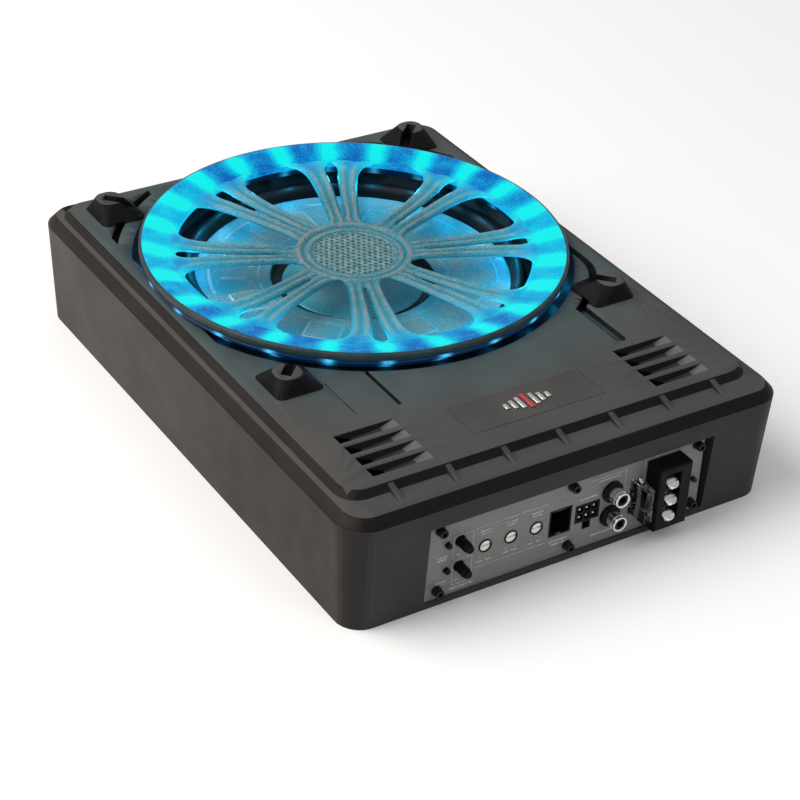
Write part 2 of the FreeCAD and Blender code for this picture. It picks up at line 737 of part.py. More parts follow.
def base_plate():
    """Steel plate inside the foot of the walls."""
    body = new_body("base_plate", (0, 0, 0))
    inset = s.draft_inset + s.wall + s.plate_gap
    half_x = s.case_width / 2 - inset
    sketch = sketch_on(body, "XY_Plane", "base_outline")
    draw_outline(sketch, rectangle((-half_x, front_y + inset), (half_x, back_y - inset)))
    pad = body.newObject("PartDesign::Pad", "base_pad")
    pad.Profile = sketch
    bind(pad, "Length", s.base_thickness)
    document.recompute()
    upright = ["Edge%d" % (index + 1) for index, edge in enumerate(pad.Shape.Edges)
               if abs(edge.tangentAt(edge.FirstParameter).z) > 0.9]
    corners = body.newObject("PartDesign::Fillet", "base_corners")
    corners.Base = (pad, upright)
    bind(corners, "Radius", s.corner_radius - s.draft_inset - s.wall)
    holes = sketch_on(body, "XY_Plane", "base_holes")
    for x, y in base_screw_places:
        draw_circle(holes, base_screw_shank + 0.2, (x, y))
    for x, y in bracket_places:
        draw_circle(holes, s.bracket_nut_radius, (x, y))
    pocket = body.newObject("PartDesign::Pocket", "base_pocket")
    pocket.Profile = holes
    pocket.Type = "ThroughAll"
    pocket.Midplane = True
    seats = sketch_on(body, "XY_Plane", "base_seats")
    for x, y in base_screw_places:
        draw_circle(seats, base_head_radius + 0.1, (x, y))
    sunk = body.newObject("PartDesign::Pocket", "base_sunk")
    sunk.Profile = seats
    bind(sunk, "Length", base_head_height)
    sunk.Reversed = True
    body.Tip = sunk


def base_screws():
    """Ten screws with low heads sunk in the plate, one group."""
    pieces = []
    for x, y in base_screw_places:
        shank = cylinder(base_screw_shank, s.base_thickness + base_screw_length, (x, y, 0))
        head = cylinder(base_head_radius, base_head_height, (x, y, 0))
        slot = box((x - 2.4, y - 0.4, -1), (x + 2.4, y + 0.4, 0.6))
        pieces.append(cut(fuse([shank, head]), [slot]))
    keep(fuse(pieces), "base_screws")


def bracket_nuts():
    """Four M5 rivet nuts that a mounting bracket bolts to."""
    pieces = []
    for x, y in bracket_places:
        barrel = cylinder(s.bracket_nut_radius, 9, (x, y, 0))
        collar = cylinder(s.bracket_nut_radius + 1.5, 1.2, (x, y, s.base_thickness))
        bore = cylinder(s.bracket_nut_bore, 20, (x, y, -5))
        pieces.append(cut(fuse([barrel, collar]), [bore]))
    keep(fuse(pieces), "bracket_nuts")


# ---------------------------------------------------------------- driver

def driver_parts():
    at = (0, driver_y, 0)
    flange_radius = s.well_radius - s.driver_gap
    flange_top = flange_low + s.sheet_thickness
    t = s.sheet_thickness
    gasket = ring_pad("driver_gasket", flange_radius, s.seat_inner_radius,
                      s.gasket_thickness, (0, driver_y, s.seat_top))
    hole_sketch = sketch_on(gasket, "XY_Plane", "gasket_hole")
    first_hole = polar(s.driver_screw_radius, driver_screw_angles[0])
    draw_circle(hole_sketch, s.driver_screw_shank + 0.1, (first_hole.x, first_hole.y))
    hole = gasket.newObject("PartDesign::Pocket", "gasket_pocket")
    hole.Profile = hole_sketch
    hole.Type = "ThroughAll"
    hole.Midplane = True
    holes = gasket.newObject("PartDesign::PolarPattern", "gasket_holes")
    holes.Originals = [hole]
    holes.Axis = (hole_sketch, ["N_Axis"])
    holes.Angle = 360
    holes.Occurrences = len(driver_screw_angles)
    gasket.Tip = holes
    shelf = top_plate_high + 10
    spider_seat = s.magnet_radius + 4.5
    deep_edge = Dim.of(76)
    throat = s.seat_inner_radius - 2
    outline = [(32, top_plate_high), (spider_seat + t, top_plate_high),
               (spider_seat + t, shelf - t), (deep_edge + 0.6, shelf - t),
               (throat, shelf - t + 13), (throat, flange_low),
               (flange_radius, flange_low), (flange_radius, flange_top),
               (throat - t, flange_top), (throat - t, shelf + 12.5),
               (deep_edge, shelf), (spider_seat, shelf),
               (spider_seat, top_plate_high + t), (32, top_plate_high + t)]
    basket_blank = revolved_shape(outline)
    windows = []
    for index in range(6):
        window = Part.makeBox(22, 34, 8, Vector(62, -17, float(shelf) - 4.2))
        window.rotate(Vector(0, 0, 0), Vector(0, 0, 1), 60 * index)
        windows.append(window)
    for degrees in driver_screw_angles:
        spot = polar(s.driver_screw_radius, degrees)
        windows.append(Part.makeCylinder(1.7, 6, Vector(spot.x, spot.y,
                                                         float(flange_low) - 3)))
    shaped("driver_basket", basket_blank.cut(windows), at)
    ring_pad("magnet_ring", s.magnet_radius, s.coil_radius + 3.5, s.magnet_height,
             (0, driver_y, magnet_low))
    ring_pad("magnet_top_plate", s.plate_radius, s.coil_radius + 2.6, s.top_plate,
             (0, driver_y, top_plate_low))
    pole = s.coil_radius - 0.8
    revolved("pole_back_plate", [(6, s.motor_low), (s.plate_radius, s.motor_low),
                                 (s.plate_radius, magnet_low), (pole, magnet_low),
                                 (pole, top_plate_high), (6, top_plate_high)], at)
    former_low = top_plate_low - 5.5
    former_top = s.cone_edge_top - 6.4
    ring_pad("voice_coil_former", s.coil_radius + 0.6, s.coil_radius, former_top - former_low,
             (0, driver_y, former_low))
    ring_pad("voice_coil", s.coil_radius + 1.6, s.coil_radius + 0.6, 10,
             (0, driver_y, top_plate_low - 2.5))
    neck = s.coil_radius + 0.6
    edge = s.cone_edge_radius
    high = s.cone_edge_top
    revolved("cone", [(edge, high), (s.cap_radius + 6, high - 3.2),
                      (s.cap_radius + 5, high - 6.4), (s.cap_radius - 4, high - 6.8),
                      (neck, high - 9.4), (neck, high - 10.9),
                      (s.cap_radius - 4, high - 8), (s.cap_radius + 6, high - 7.6),
                      (s.cap_radius + 7, high - 4.3), (edge, high - 1.2)], at)
    cap_low = high - 6.6
    cap = s.cap_radius
    revolved("dust_cap", [(cap - 2, cap_low), (cap, cap_low), (cap, cap_low + 1.4),
                          (cap - 1, cap_low + 2.2), (cap / 2, cap_low + 2.9),
                          (0, cap_low + 3.2), (0, cap_low + 1.8),
                          (cap / 2, cap_low + 1.6), (cap - 2, cap_low + 1)], at)
    spider_profile(neck, spider_seat + 8, shelf, at)
    surround_profile(flange_top, at)
    driver_screw_group(flange_top, at)
    tab_y = driver_y - throat
    tab = box((-8, tab_y - 4, terminal_low), (8, tab_y, terminal_top))
    keep(tab, "driver_terminal")


def revolved_shape(outline):
    """An outline of (radius, height) corners turned about the Z axis, as a shape."""
    corners = [Vector(float(Dim.of(r)), 0, float(Dim.of(z))) for r, z in outline]
    face = Part.Face(Part.makePolygon(corners + corners[:1]))
    return face.revolve(Vector(0, 0, 0), Vector(0, 0, 1), 360)


def spider_profile(inner, outer, height, at):
    """Corrugated spider, between the former and its seat on the basket."""
    waves = 6
    thick = 0.6
    start = inner + 2
    pitch = (outer - 6 - start) / (2 * waves)
    upper = [(inner, height + 0.2 + thick), (start, height + 0.2 + thick)]
    lower = [(inner, height + 0.2), (start, height + 0.2)]
    for index in range(2 * waves):
        lift = 1.6 if index % 2 == 0 else 0.2
        radius = start + (index + 0.5) * pitch
        upper.append((radius, height + lift + thick))
        lower.append((radius, height + lift))
    for radius in (outer - 6, outer):
        upper.append((radius, height + thick))
        lower.append((radius, height))
    revolved("spider", lower + upper[::-1], at)


def surround_profile(flange_top, at):
    """Half-roll rubber surround from the cone edge to the flange."""
    inner = float(s.cone_edge_radius) - 0.8
    outer = float(s.driver_screw_radius) - 2.6
    low = float(s.cone_edge_top)
    high = float(flange_top)
    thick = 1.2
    middle = (inner + outer) / 2
    roll = (outer - inner) / 2 - 1.2
    crown = high + roll + 1.0
    top = Part.Arc(Vector(middle - roll, 0, high), Vector(middle, 0, crown),
                   Vector(middle + roll, 0, high))
    under = Part.Arc(Vector(middle + roll - thick, 0, high), Vector(middle, 0, crown - thick),
                     Vector(middle - roll + thick, 0, high))
    lip = 0.1
    outline = [under.EndPoint, Vector(middle - roll + thick, 0, low),
               Vector(inner - 2, 0, low), Vector(inner - 2, 0, low + thick),
               Vector(middle - roll - 0.6, 0, low + thick), top.StartPoint]
    flange = [top.EndPoint, Vector(middle + roll + lip, 0, high + thick),
              Vector(outer, 0, high + thick), Vector(outer, 0, high), under.StartPoint]
    edges = [Part.makeLine(a, b) for a, b in zip(outline, outline[1:])]
    edges.append(top.toShape())
    edges += [Part.makeLine(a, b) for a, b in zip(flange, flange[1:])]
    edges.append(under.toShape())
    face = Part.Face(Part.Wire(edges))
    shaped("surround", face.revolve(Vector(0, 0, 0), Vector(0, 0, 1), 360), at)


def driver_screw_group(flange_top, at):
    pieces = []
    low = float(s.seat_top - s.wall) - 4
    for degrees in driver_screw_angles:
        spot = polar(s.driver_screw_radius, degrees)
        shank = Part.makeCylinder(float(s.driver_screw_shank), float(flange_top) - low,
                                  Vector(spot.x, spot.y, low))
        head = Part.makeCylinder(2.3, 1.8, Vector(spot.x, spot.y, float(flange_top)))
        recess = Part.makeBox(3.2, 0.8, 1, Vector(spot.x - 1.6, spot.y - 0.4,
                                                  float(flange_top) + 1.2))
        cross = Part.makeBox(0.8, 3.2, 1, Vector(spot.x - 0.4, spot.y - 1.6,
                                                 float(flange_top) + 1.2))
        pieces.append(shank.fuse(head).cut([recess, cross]))
    shaped("driver_screws", Part.makeCompound(pieces), at)


# ---------------------------------------------------------------- light wheel

def light_bezel():
    at = (0, driver_y, 0)
    floor = recess_floor + s.bezel_floor
    inner = s.well_radius
    outer = s.bezel_outer_radius
    rim = s.bezel_rim
    blank = revolved_shape([(inner, recess_floor), (outer, recess_floor),
                            (outer, s.wheel_low), (outer - rim, s.wheel_low),
                            (outer - rim, floor), (inner + rim, floor),
                            (inner + rim, s.wheel_low), (inner, s.wheel_low)])
    holes = [Part.makeCylinder(1.4, 3, polar(bezel_screw_radius, degrees,
                                             float(recess_floor)))
             for degrees in bezel_screw_angles]
    shaped("grille_bezel", blank.cut(holes), at)
    ring_pad("led_strip", outer - rim - 0.3, inner + rim + 0.3, 0.3, (0, driver_y, floor))
    chips = []
    for index in range(24):
        chip = Part.makeBox(3.5, 5, 0.7, Vector(float(s.led_radius) - 1.75, -2.5,
                                                float(floor) + 0.3))
        chip.rotate(Vector(0, 0, 0), Vector(0, 0, 1), 15 * index + 7.5)
        chips.append(chip)
    shaped("led_chips", Part.makeCompound(chips), at)
    screws = []
    low = float(recess_floor - s.wall)
    for degrees in bezel_screw_angles:
        spot = polar(bezel_screw_radius, degrees)
        head = Part.makeCylinder(2.4, 1.6, Vector(spot.x, spot.y, low - 1.6))
        shank = Part.makeCylinder(1.4, float(s.wall) + 2.5, Vector(spot.x, spot.y, low))
        screws.append(head.fuse(shank))
    shaped("bezel_screws", Part.makeCompound(screws), at)


def wheel_grille():
    """Clear rim and hub joined by eight pairs of spokes that dish towards the hub."""
    rim = revolved_shape([(s.rim_inner_radius, s.wheel_low), (s.wheel_radius, s.wheel_low),
                          (s.wheel_radius, s.wheel_top - 0.8),
                          (s.wheel_radius - 0.8, s.wheel_top),
                          (s.wheel_radius - 3.2, s.wheel_top),
                          (s.rim_inner_radius, s.rim_inner_top)])
    thick = s.spoke_thickness
    reach = s.rim_inner_radius + 3
    dish = revolved_shape([(0, s.hub_top - thick), (s.hub_radius, s.hub_top - thick),
                           (reach, s.wheel_low), (reach, s.rim_inner_top + 0.3),
                           (s.hub_radius, s.hub_top), (0, s.hub_top)])
    hub = rod(s.hub_radius, 0, 100, 0, 0).cut(rod(s.hub_mesh_radius, 0, 100, 0, 0))
    legs = [hub]
    for index in range(8):
        for side in (-1, 1):
            near = side * 4.9
            far = side * 12.0
            start = float(s.hub_mesh_radius) + 1.5
            end = float(reach)
            leg = prism([(start, near - 4.3, 0), (end, far - 5.5, 0),
                         (end, far + 5.5, 0), (start, near + 4.3, 0)], 100, Vector(0, 0, 1))
            leg.rotate(Vector(0, 0, 0), Vector(0, 0, 1), 22.5 + 45 * index)
            legs.append(leg)
    plan = legs[0].fuse(legs[1:])
    wheel = rim.fuse(plan.common(dish)).removeSplitter()
    shaped("wheel_grille", wheel, (0, driver_y, 0))


def hub_mesh():
    """Perforated disc set in the hub, holes in rings."""
    thick = 1.6
    radius = float(s.hub_mesh_radius)
    disc = Part.makeCylinder(radius, thick)
    holes = []
    pitch = 3.6
    for ring in range(0, 6):
        count = max(1, 6 * ring)
        for index in range(count):
            spot = polar(ring * pitch, 360.0 * index / count)
            holes.append(Part.makeCylinder(0.95, thick + 2, spot - Vector(0, 0, 1)))
    shaped("hub_mesh", disc.cut(holes), (0, driver_y, s.hub_top - 2.4))


# ---------------------------------------------------------------- badge

def badge():
    gap = s.plate_gap
    half = s.badge_length / 2 - gap
    low = front_y + s.badge_front + gap
    high = low + s.badge_height - 2 * gap
    floor = s.deck_top - s.badge_depth
    plate = box((-half, low, floor), (half, high, s.deck_top))
    keep(plate, "badge_plate")
    bars = []
    middle = (low + high) / 2
    for index in range(-3, 4):
        height = 12.0 - 2.6 * abs(index)
        bars.append(box((index * 4.0 - 1.1, middle - height / 2, s.deck_top),
                        (index * 4.0 + 1.1, middle + height / 2, s.deck_top + 0.8)))
    keep(fuse(bars), "badge_emblem")


# ---------------------------------------------------------------- control panel

def control_panel():
    """The terminal plate, pocketed for every connector and control."""
    body = new_body("control_panel", (0, panel_y, 0))
    half = s.panel_opening_width / 2
    gap = s.plate_gap
    sketch = sketch_on(body, "XZ_Plane", "panel_outline")
    draw_outline(sketch, rectangle((-half + gap, s.panel_opening_low + gap),
                                   (half - s.panel_right_gap, s.panel_opening_high - gap)))
    pad = body.newObject("PartDesign::Pad", "panel_pad")
    pad.Profile = sketch
    bind(pad, "Length", s.panel_thickness)
    pad.Reversed = True
    openings = sketch_on(body, "XZ_Plane", "panel_openings")
    for x, z in panel_screw_places:
        draw_circle(openings, s.panel_screw_shank + 0.2, (x, z))
    for x in trimmer_places:
        draw_circle(openings, s.trimmer_radius + 0.6, (x, s.trimmer_height))
    for z in (s.row_high, s.row_low):
        draw_circle(openings, s.button_radius + 0.3, (-s.button_x, z))
        draw_circle(openings, Dim.of(1.6), (-s.lamp_x, z))
    for z in jack_heights:
        draw_circle(openings, s.jack_neck_radius + s.running_gap, (s.jack_x, z))
    draw_outline(openings, rectangle(
        (s.socket_x - s.socket_width / 2, s.socket_low),
        (s.socket_x + s.socket_width / 2, s.socket_low + s.socket_height)))
    left = s.header_x - s.header_width / 2
    right = s.header_x + s.header_width / 2
    draw_outline(openings, [(left, s.header_low), (s.header_x - 2.5, s.header_low),
                            (s.header_x - 2.5, s.header_low - 4.6),
                            (s.header_x + 2.5, s.header_low - 4.6),
                            (s.header_x + 2.5, s.header_low), (right, s.header_low),
                            (right, s.header_low + s.header_height),
                            (left, s.header_low + s.header_height)])
    draw_outline(openings, rectangle(
        (s.fuse_x - s.fuse_slot_width / 2, s.fuse_slot_low),
        (s.fuse_x + s.fuse_slot_width / 2, s.fuse_slot_low + s.fuse_slot_height)))
    draw_outline(openings, rectangle((s.block_x - 7, s.block_low + 9),
                                     (s.block_x + 7, s.block_low + s.block_height - 3)))
    pocket = body.newObject("PartDesign::Pocket", "panel_pocket")
    pocket.Profile = openings
    pocket.Type = "ThroughAll"
    pocket.Midplane = True
    body.Tip = pocket


def panel_screws():
    """Socket-cap screws with their washers, one group."""
    pieces = []
    for x, z in panel_screw_places:
        head = cylinder(s.panel_screw_head, s.panel_screw_head_height - 0.8,
                        (x, panel_y - 0.8, z), "front")
        washer = cylinder(s.panel_screw_head + 0.4, 0.8, (x, panel_y, z), "front")
        shank = cylinder(s.panel_screw_shank, panel_screw_length, (x, panel_y, z), "back")
        key = document.addObject("Part::Prism", "hex_key")
        key.Polygon = 6
        key.Circumradius = 1.3
        key.Height = 3
        place(key, (x, panel_y - s.panel_screw_head_height + 2, z), "front")
        pieces.append(cut(fuse([head, washer, shank]), [key]))
    keep(fuse(pieces), "panel_screws")


def small_screws():
    """Two small black screws, by the fuse and at the right edge of the panel."""
    pieces = []
    for x, z in ((s.jack_x + 8.0, Dim.of(24.6)), (s.panel_screw_x, Dim.of(22.5))):
        head = cylinder(1.4, 2.4, (x, panel_y, z), "front")
        recess = box((x - 1.0, panel_y - 2.9, z - 0.25), (x + 1.0, panel_y - 1.8, z + 0.25))
        pieces.append(cut(head, [recess]))
    keep(fuse(pieces), "small_screws")


def indicator_lamps():
    pieces = []
    for z in (s.row_high, s.row_low):
        pieces.append(cylinder(1.5, s.panel_thickness + 4, (-s.lamp_x, panel_back_y + 2, z),
                               "front"))
        pieces.append(cylinder(2.0, 3.5, (-s.lamp_x, panel_back_y + 2, z), "back"))
    keep(fuse(pieces), "indicator_lamps")


def trimmers():
    """Three pots with collars in the panel, and the slotted shafts that turn in them."""
    bodies = []
    collar = s.trimmer_radius + 0.55
    for number, x in enumerate(trimmer_places, start=1):
        z = s.trimmer_height
        housing = box((x - 4.8, panel_back_y, board_top), (x + 4.8, panel_back_y + 8, z + 5))
        ring = cylinder(collar, s.panel_thickness + 0.5, (x, panel_back_y, z), "front")
        bore = cylinder(s.trimmer_radius + s.running_gap, s.panel_thickness + 6,
                        (x, panel_back_y + 4.5, z), "front")
        bodies.append(cut(fuse([housing, ring]), [bore]))
        shaft = cylinder(s.trimmer_radius, s.panel_thickness + 4.3,
                         (x, panel_back_y + 4.4, z), "front")
        slot = box((x - 4, panel_y - 1, z - 0.45), (x + 4, panel_y + 1, z + 0.45))
        keep(cut(shaft, [slot]), "trimmer_shaft_%d" % number)
    keep(fuse(bodies), "trimmer_bodies")


def push_buttons():
    """Two push switches, each a housing behind the panel and a sliding cap."""
    housings = []
    for name, z in (("upper", s.row_high), ("lower", s.row_low)):
        x = -s.button_x
        housing = box((x - 4.2, panel_back_y, z - 4.2), (x + 4.2, panel_back_y + 12, z + 4.2))
        bore = cylinder(s.button_radius + s.running_gap, 12, (x, panel_back_y + 8.5, z),
                        "front")
        housings.append(cut(housing, [bore]))
        stem = cylinder(s.button_radius, s.button_reach + s.panel_thickness + 4,
                        (x, panel_back_y + 4, z), "front")
        tip = cylinder(s.button_radius - 0.9, 1.0, (x, panel_y - s.button_reach, z), "front")
        keep(fuse([stem, tip]), "push_button_" + name)
    keep(fuse(housings), "switch_housings")


def remote_socket():
    half = s.socket_width / 2
    low = s.socket_low
    high = low + s.socket_height
    x = s.socket_x
    outer = box((x - half, panel_y, low), (x + half, panel_back_y + 12, high))
    foot = box((x - half, panel_back_y, board_top), (x + half, panel_back_y + 12, low))
    cavity = box((x - half + 1, panel_y - 1, low + 1.2), (x + half - 1, panel_back_y + 10,
                                                          high - 1))
    latch = box((x - 2, panel_y - 1, low - 1), (x + 2, panel_y + 5, low + 1.3))
    keep(cut(fuse([outer, foot]), [cavity, latch]), "remote_socket")
    contacts = []
    for index in range(6):
        offset = (index - 2.5) * 1.2
        contacts.append(box((x + offset - 0.25, panel_y + 0.8, high - 1.9),
                            (x + offset + 0.25, panel_back_y + 8, high - 1)))
    keep(fuse(contacts), "remote_contacts")


def signal_header():
    """Six-way connector: a housing flush with the panel and six square pins."""
    left = s.header_x - s.header_width / 2
    right = s.header_x + s.header_width / 2
    high = s.header_low + s.header_height
    body = fuse([box((left, panel_y, s.header_low), (right, panel_back_y + 11, high)),
                 box((s.header_x - 2.5, panel_y, s.header_low - 4.6),
                     (s.header_x + 2.5, panel_back_y, s.header_low)),
                 box((left, panel_back_y, board_top), (right, panel_back_y + 11,
                                                       s.header_low))])
    wells = []
    pins = []
    for column in (-1, 0, 1):
        for row in (0, 1):
            x = s.header_x + column * s.header_pitch
            z = s.header_low + 3.0 + row * (s.header_pitch + 0.3)
            wells.append(box((x - 1.6, panel_y - 1, z - 1.6), (x + 1.6, panel_back_y + 8,
                                                               z + 1.6)))
            pins.append(box((x - 0.5, panel_y + 0.6, z - 0.5), (x + 0.5, panel_back_y + 8,
                                                                z + 0.5)))
    slot = box((s.header_x - 1.6, panel_y - 1, s.header_low - 3.8),
               (s.header_x + 1.6, panel_y + 5, s.header_low - 0.6))
    keep(cut(body, wells + [slot]), "header_housing")
    keep(fuse(pins), "header_pins")


def phono_jacks():
    """Two jacks: a metal barrel on a neck, an insulating liner and a collar."""
    collars = []
    barrels = []
    liners = []
    inner_radius = s.jack_radius - s.jack_wall
    back = panel_back_y + 0.1
    tip = panel_y - s.jack_length
    foot = panel_y - s.jack_neck_length
    for z in jack_heights:
        collar = cylinder(s.jack_radius + 1.6, s.jack_collar, (s.jack_x, panel_y, z), "front")
        hole = cylinder(s.jack_neck_radius, 6, (s.jack_x, panel_y + 2, z), "front")
        collars.append(cut(collar, [hole]))
        barrel = cylinder(s.jack_radius, foot - tip, (s.jack_x, foot, z), "front")
        neck = cylinder(s.jack_neck_radius, back - foot, (s.jack_x, back, z), "front")
        inner = cylinder(inner_radius, 30, (s.jack_x, panel_back_y + 5, z), "front")
        barrels.append(cut(fuse([barrel, neck]), [inner]))
        liner = cylinder(inner_radius, back - tip - 0.5, (s.jack_x, back, z), "front")
        bore = cylinder(s.jack_pin_radius, s.jack_length, (s.jack_x, panel_y, z), "front")
        liners.append(cut(liner, [bore]))
    keep(fuse(collars), "jack_collars")
    keep(fuse(barrels), "jack_barrels")
    keep(fuse(liners), "jack_insulators")
    keep(box((s.jack_x - 6.2, back, board_top),
             (s.jack_x + 6.2, panel_back_y + 12, s.jack_high + 6)), "jack_block")


def fuse_parts():
    """Fuse holder in the panel slot and the blade fuse that pulls out of it."""
    half = s.fuse_slot_width / 2
    high = s.fuse_slot_low + s.fuse_slot_height
    holder = box((s.fuse_x - half, panel_y + 0.4, s.fuse_slot_low),
                 (s.fuse_x + half, panel_back_y + 13, high))
    middle = s.fuse_slot_low + s.fuse_slot_height / 2
    fuse_low = middle - s.fuse_height / 2
    side = s.fuse_thickness / 2
    seat = panel_back_y + 1.5
    pocket = box((s.fuse_x - side - 0.3, panel_y - 1, fuse_low - 0.4),
                 (s.fuse_x + side + 0.3, seat, fuse_low + s.fuse_height + 0.4))
    blade_slots = []
    blades = []
    for sign in (-1, 1):
        z = middle + sign * 5.6
        blade_slots.append(box((s.fuse_x - 0.45, seat - 1, z - 2.75),
                               (s.fuse_x + 0.45, seat + 8.5, z + 2.75)))
        blades.append(box((s.fuse_x - 0.33, seat - 2, z - 2.6),
                          (s.fuse_x + 0.33, seat + 7, z + 2.6)))
    keep(cut(holder, [pocket] + blade_slots), "fuse_holder")
    shell = box((s.fuse_x - side, panel_y - s.fuse_reach, fuse_low),
                (s.fuse_x + side, seat - 2, fuse_low + s.fuse_height))
    waist = box((s.fuse_x - side - 1, panel_y - s.fuse_reach + 3.2, fuse_low + 4.5),
                (s.fuse_x - side + 0.9, seat, fuse_low + s.fuse_height - 4.5))
    waist_right = box((s.fuse_x + side - 0.9, panel_y - s.fuse_reach + 3.2, fuse_low + 4.5),
                      (s.fuse_x + side + 1, seat, fuse_low + s.fuse_height - 4.5))
    keep(cut(shell, [waist, waist_right]), "fuse_body")
    keep(fuse(blades), "fuse_blades")


def clamp_axis():
    angle = math.radians(float(s.clamp_tilt))
    return Vector(0, -math.cos(angle), math.sin(angle))


def clamp_centre(z):
    return Vector(float(s.clamp_x), float(panel_y - s.block_reach + s.clamp_seat), float(z))


def terminal_block():
    """Three-way clamp block with a sloping seat for each screw."""
    half = s.block_width / 2
    face_y = panel_y - s.block_reach
    high = s.block_low + s.block_height
    body = block((s.block_x - half, face_y, s.block_low), (s.block_x + half, panel_y, high))
    upright = [edge for edge in body.Edges
               if abs(edge.tangentAt(edge.FirstParameter).z) > 0.9
               and edge.CenterOfMass.y < float(face_y) + 1]
    across = [edge for edge in body.Edges
              if abs(edge.tangentAt(edge.FirstParameter).x) > 0.9
              and edge.CenterOfMass.y < float(face_y) + 1]
    body = body.makeFillet(1.0, upright + across)
    stem = block((s.block_x - 7, panel_y, s.block_low + 9),
                 (s.block_x + 7, panel_back_y + 10, high - 3))
    body = body.fuse(stem)
    cuts = []
    axis = clamp_axis()
    slope = Vector(0, -axis.z, axis.y)
    reach = float(s.clamp_radius) + 0.4
    front = float(face_y) - 2
    for z in clamp_heights:
        middle = clamp_centre(z) - axis * float(s.clamp_seat)
        inner = middle - slope * reach
        steps = (front - middle.y) / slope.y
        outer = middle + slope * steps
        ceiling = float(z) + 5.6
        x = float(s.clamp_x) - reach - 0.5
        points = [(x, inner.y, inner.z), (x, outer.y, outer.z), (x, outer.y, ceiling),
                  (x, inner.y, ceiling)]
        cuts.append(prism(points, 2 * reach + 1, Vector(1, 0, 0)))
        hole = Part.makeCylinder(float(s.clamp_shank + s.running_gap), 6.2,
                                 middle - axis * 6, axis)
        cuts.append(hole)
        entry = Part.makeCylinder(2.1, 6, Vector(float(s.block_x + half) - 4.6,
                                                  float(face_y) + 6.2, float(z) - 3.0),
                                  Vector(1, 0, 0))
        cuts.append(entry)
    shaped("terminal_block", body.cut(cuts).removeSplitter())


def clamp_screw(name, z):
    """A slotted clamp screw lying square to its seat."""
    axis = clamp_axis()
    seat = clamp_centre(z) - axis * float(s.clamp_seat)
    across = Vector(1, 0, 0)
    slope = axis.cross(across)
    head = Part.makeCylinder(float(s.clamp_radius), 1.6, seat, axis)
    rim = [edge for edge in head.Edges
           if edge.Closed and (edge.CenterOfMass - seat).dot(axis) > 1.5]
    head = head.makeFillet(0.5, rim[:1])
    shank_length = 5.5
    shank = Part.makeCylinder(float(s.clamp_shank), shank_length,
                              seat - axis * shank_length, axis)
    corner = seat + axis * 0.9 - across * 4 - slope * 0.45
    slot = prism([tuple(corner), tuple(corner + across * 8),
                  tuple(corner + across * 8 + slope * 0.9), tuple(corner + slope * 0.9)],
                 2, axis)
    shaped("clamp_screw_" + name, head.fuse(shank).cut(slot))


# ---------------------------------------------------------------- amplifier

def amplifier():
    """Board on four posts, with its sink, capacitors and transformer."""
    front = panel_back_y + s.board_gap
    back = front + s.board_length
    board = box((-s.board_half_width, front, s.board_low),
                (s.board_half_width, back, board_top))
    stand_places = [(side * (s.board_half_width - 8), y)
                    for side in (-1, 1) for y in (front + 14, back - 8)]
    holes = [cylinder(1.6, 20, (x, y, 0)) for x, y in stand_places]
    keep(cut(board, holes), "amp_board")
    posts = [cut(cylinder(3.2, s.board_low - s.base_thickness, (x, y, s.base_thickness)),
                 [cylinder(1.2, 20, (x, y, 0))]) for x, y in stand_places]
    keep(fuse(posts), "board_standoffs")
    heat_sink(front + s.sink_setback)
    transistors = []
    for index in range(4):
        y = front + s.sink_setback + 2 + index * s.transistor_pitch
        low = (s.sink_width - s.sink_left, y, board_top)
        high = (s.sink_width - s.sink_left + 4.5, y + 10, board_top + 21)
        transistors.append(box(low, high))
    keep(fuse(transistors), "output_transistors")
    capacitors = []
    for x in (-15, 7):
        for y in (35, 58):
            capacitors.append(cylinder(s.capacitor_radius, s.capacitor_height,
                                       (x, front + y, board_top)))
    keep(fuse(capacitors), "filter_capacitors")
    toroid = document.addObject("Part::Torus", "toroid")
    bind(toroid, "Radius1", s.toroid_radius)
    bind(toroid, "Radius2", s.toroid_half_height)
    middle_y = front + 52
    place(toroid, (s.toroid_x, middle_y, board_top + s.toroid_half_height))
    keep(toroid, "transformer_toroid")
    toroid_top = board_top + 2 * s.toroid_half_height
    clamp = fuse([cylinder(22, 1.5, (s.toroid_x, middle_y, toroid_top)),
                  cylinder(3, 2 * s.toroid_half_height, (s.toroid_x, middle_y, board_top))])
    keep(clamp, "transformer_clamp")


def heat_sink(start):
    """Finned block that the output transistors are clamped to."""
    body = new_body("heat_sink", (-s.sink_left, start, board_top))
    sketch = sketch_on(body, "XY_Plane", "sink_base")
    draw_outline(sketch, rectangle((0, 0), (s.sink_width, s.sink_length)))
    pad = body.newObject("PartDesign::Pad", "sink_pad")
    pad.Profile = sketch
    pad.Length = 4
    fin = sketch_on(body, "XY_Plane", "sink_fin")
    draw_outline(fin, rectangle((0, 0), (s.sink_fin, s.sink_length)))
    fin_pad = body.newObject("PartDesign::Pad", "sink_fin_pad")
    fin_pad.Profile = fin
    bind(fin_pad, "Length", s.sink_height)
    row = body.newObject("PartDesign::LinearPattern", "sink_fins")
    row.Originals = [fin_pad]
    row.Direction = (sketch, ["H_Axis"])
    row.Length = float(s.sink_width - s.sink_fin)
    row.Occurrences = 11
    body.Tip = row


def damping_pad():
    low = driver_y + s.well_radius + s.wall + 3
    pad = box((-95, low, s.base_boss_top + 1), (95, back_y - 8, s.seat_top - 4))
    keep(pad, "damping_pad")


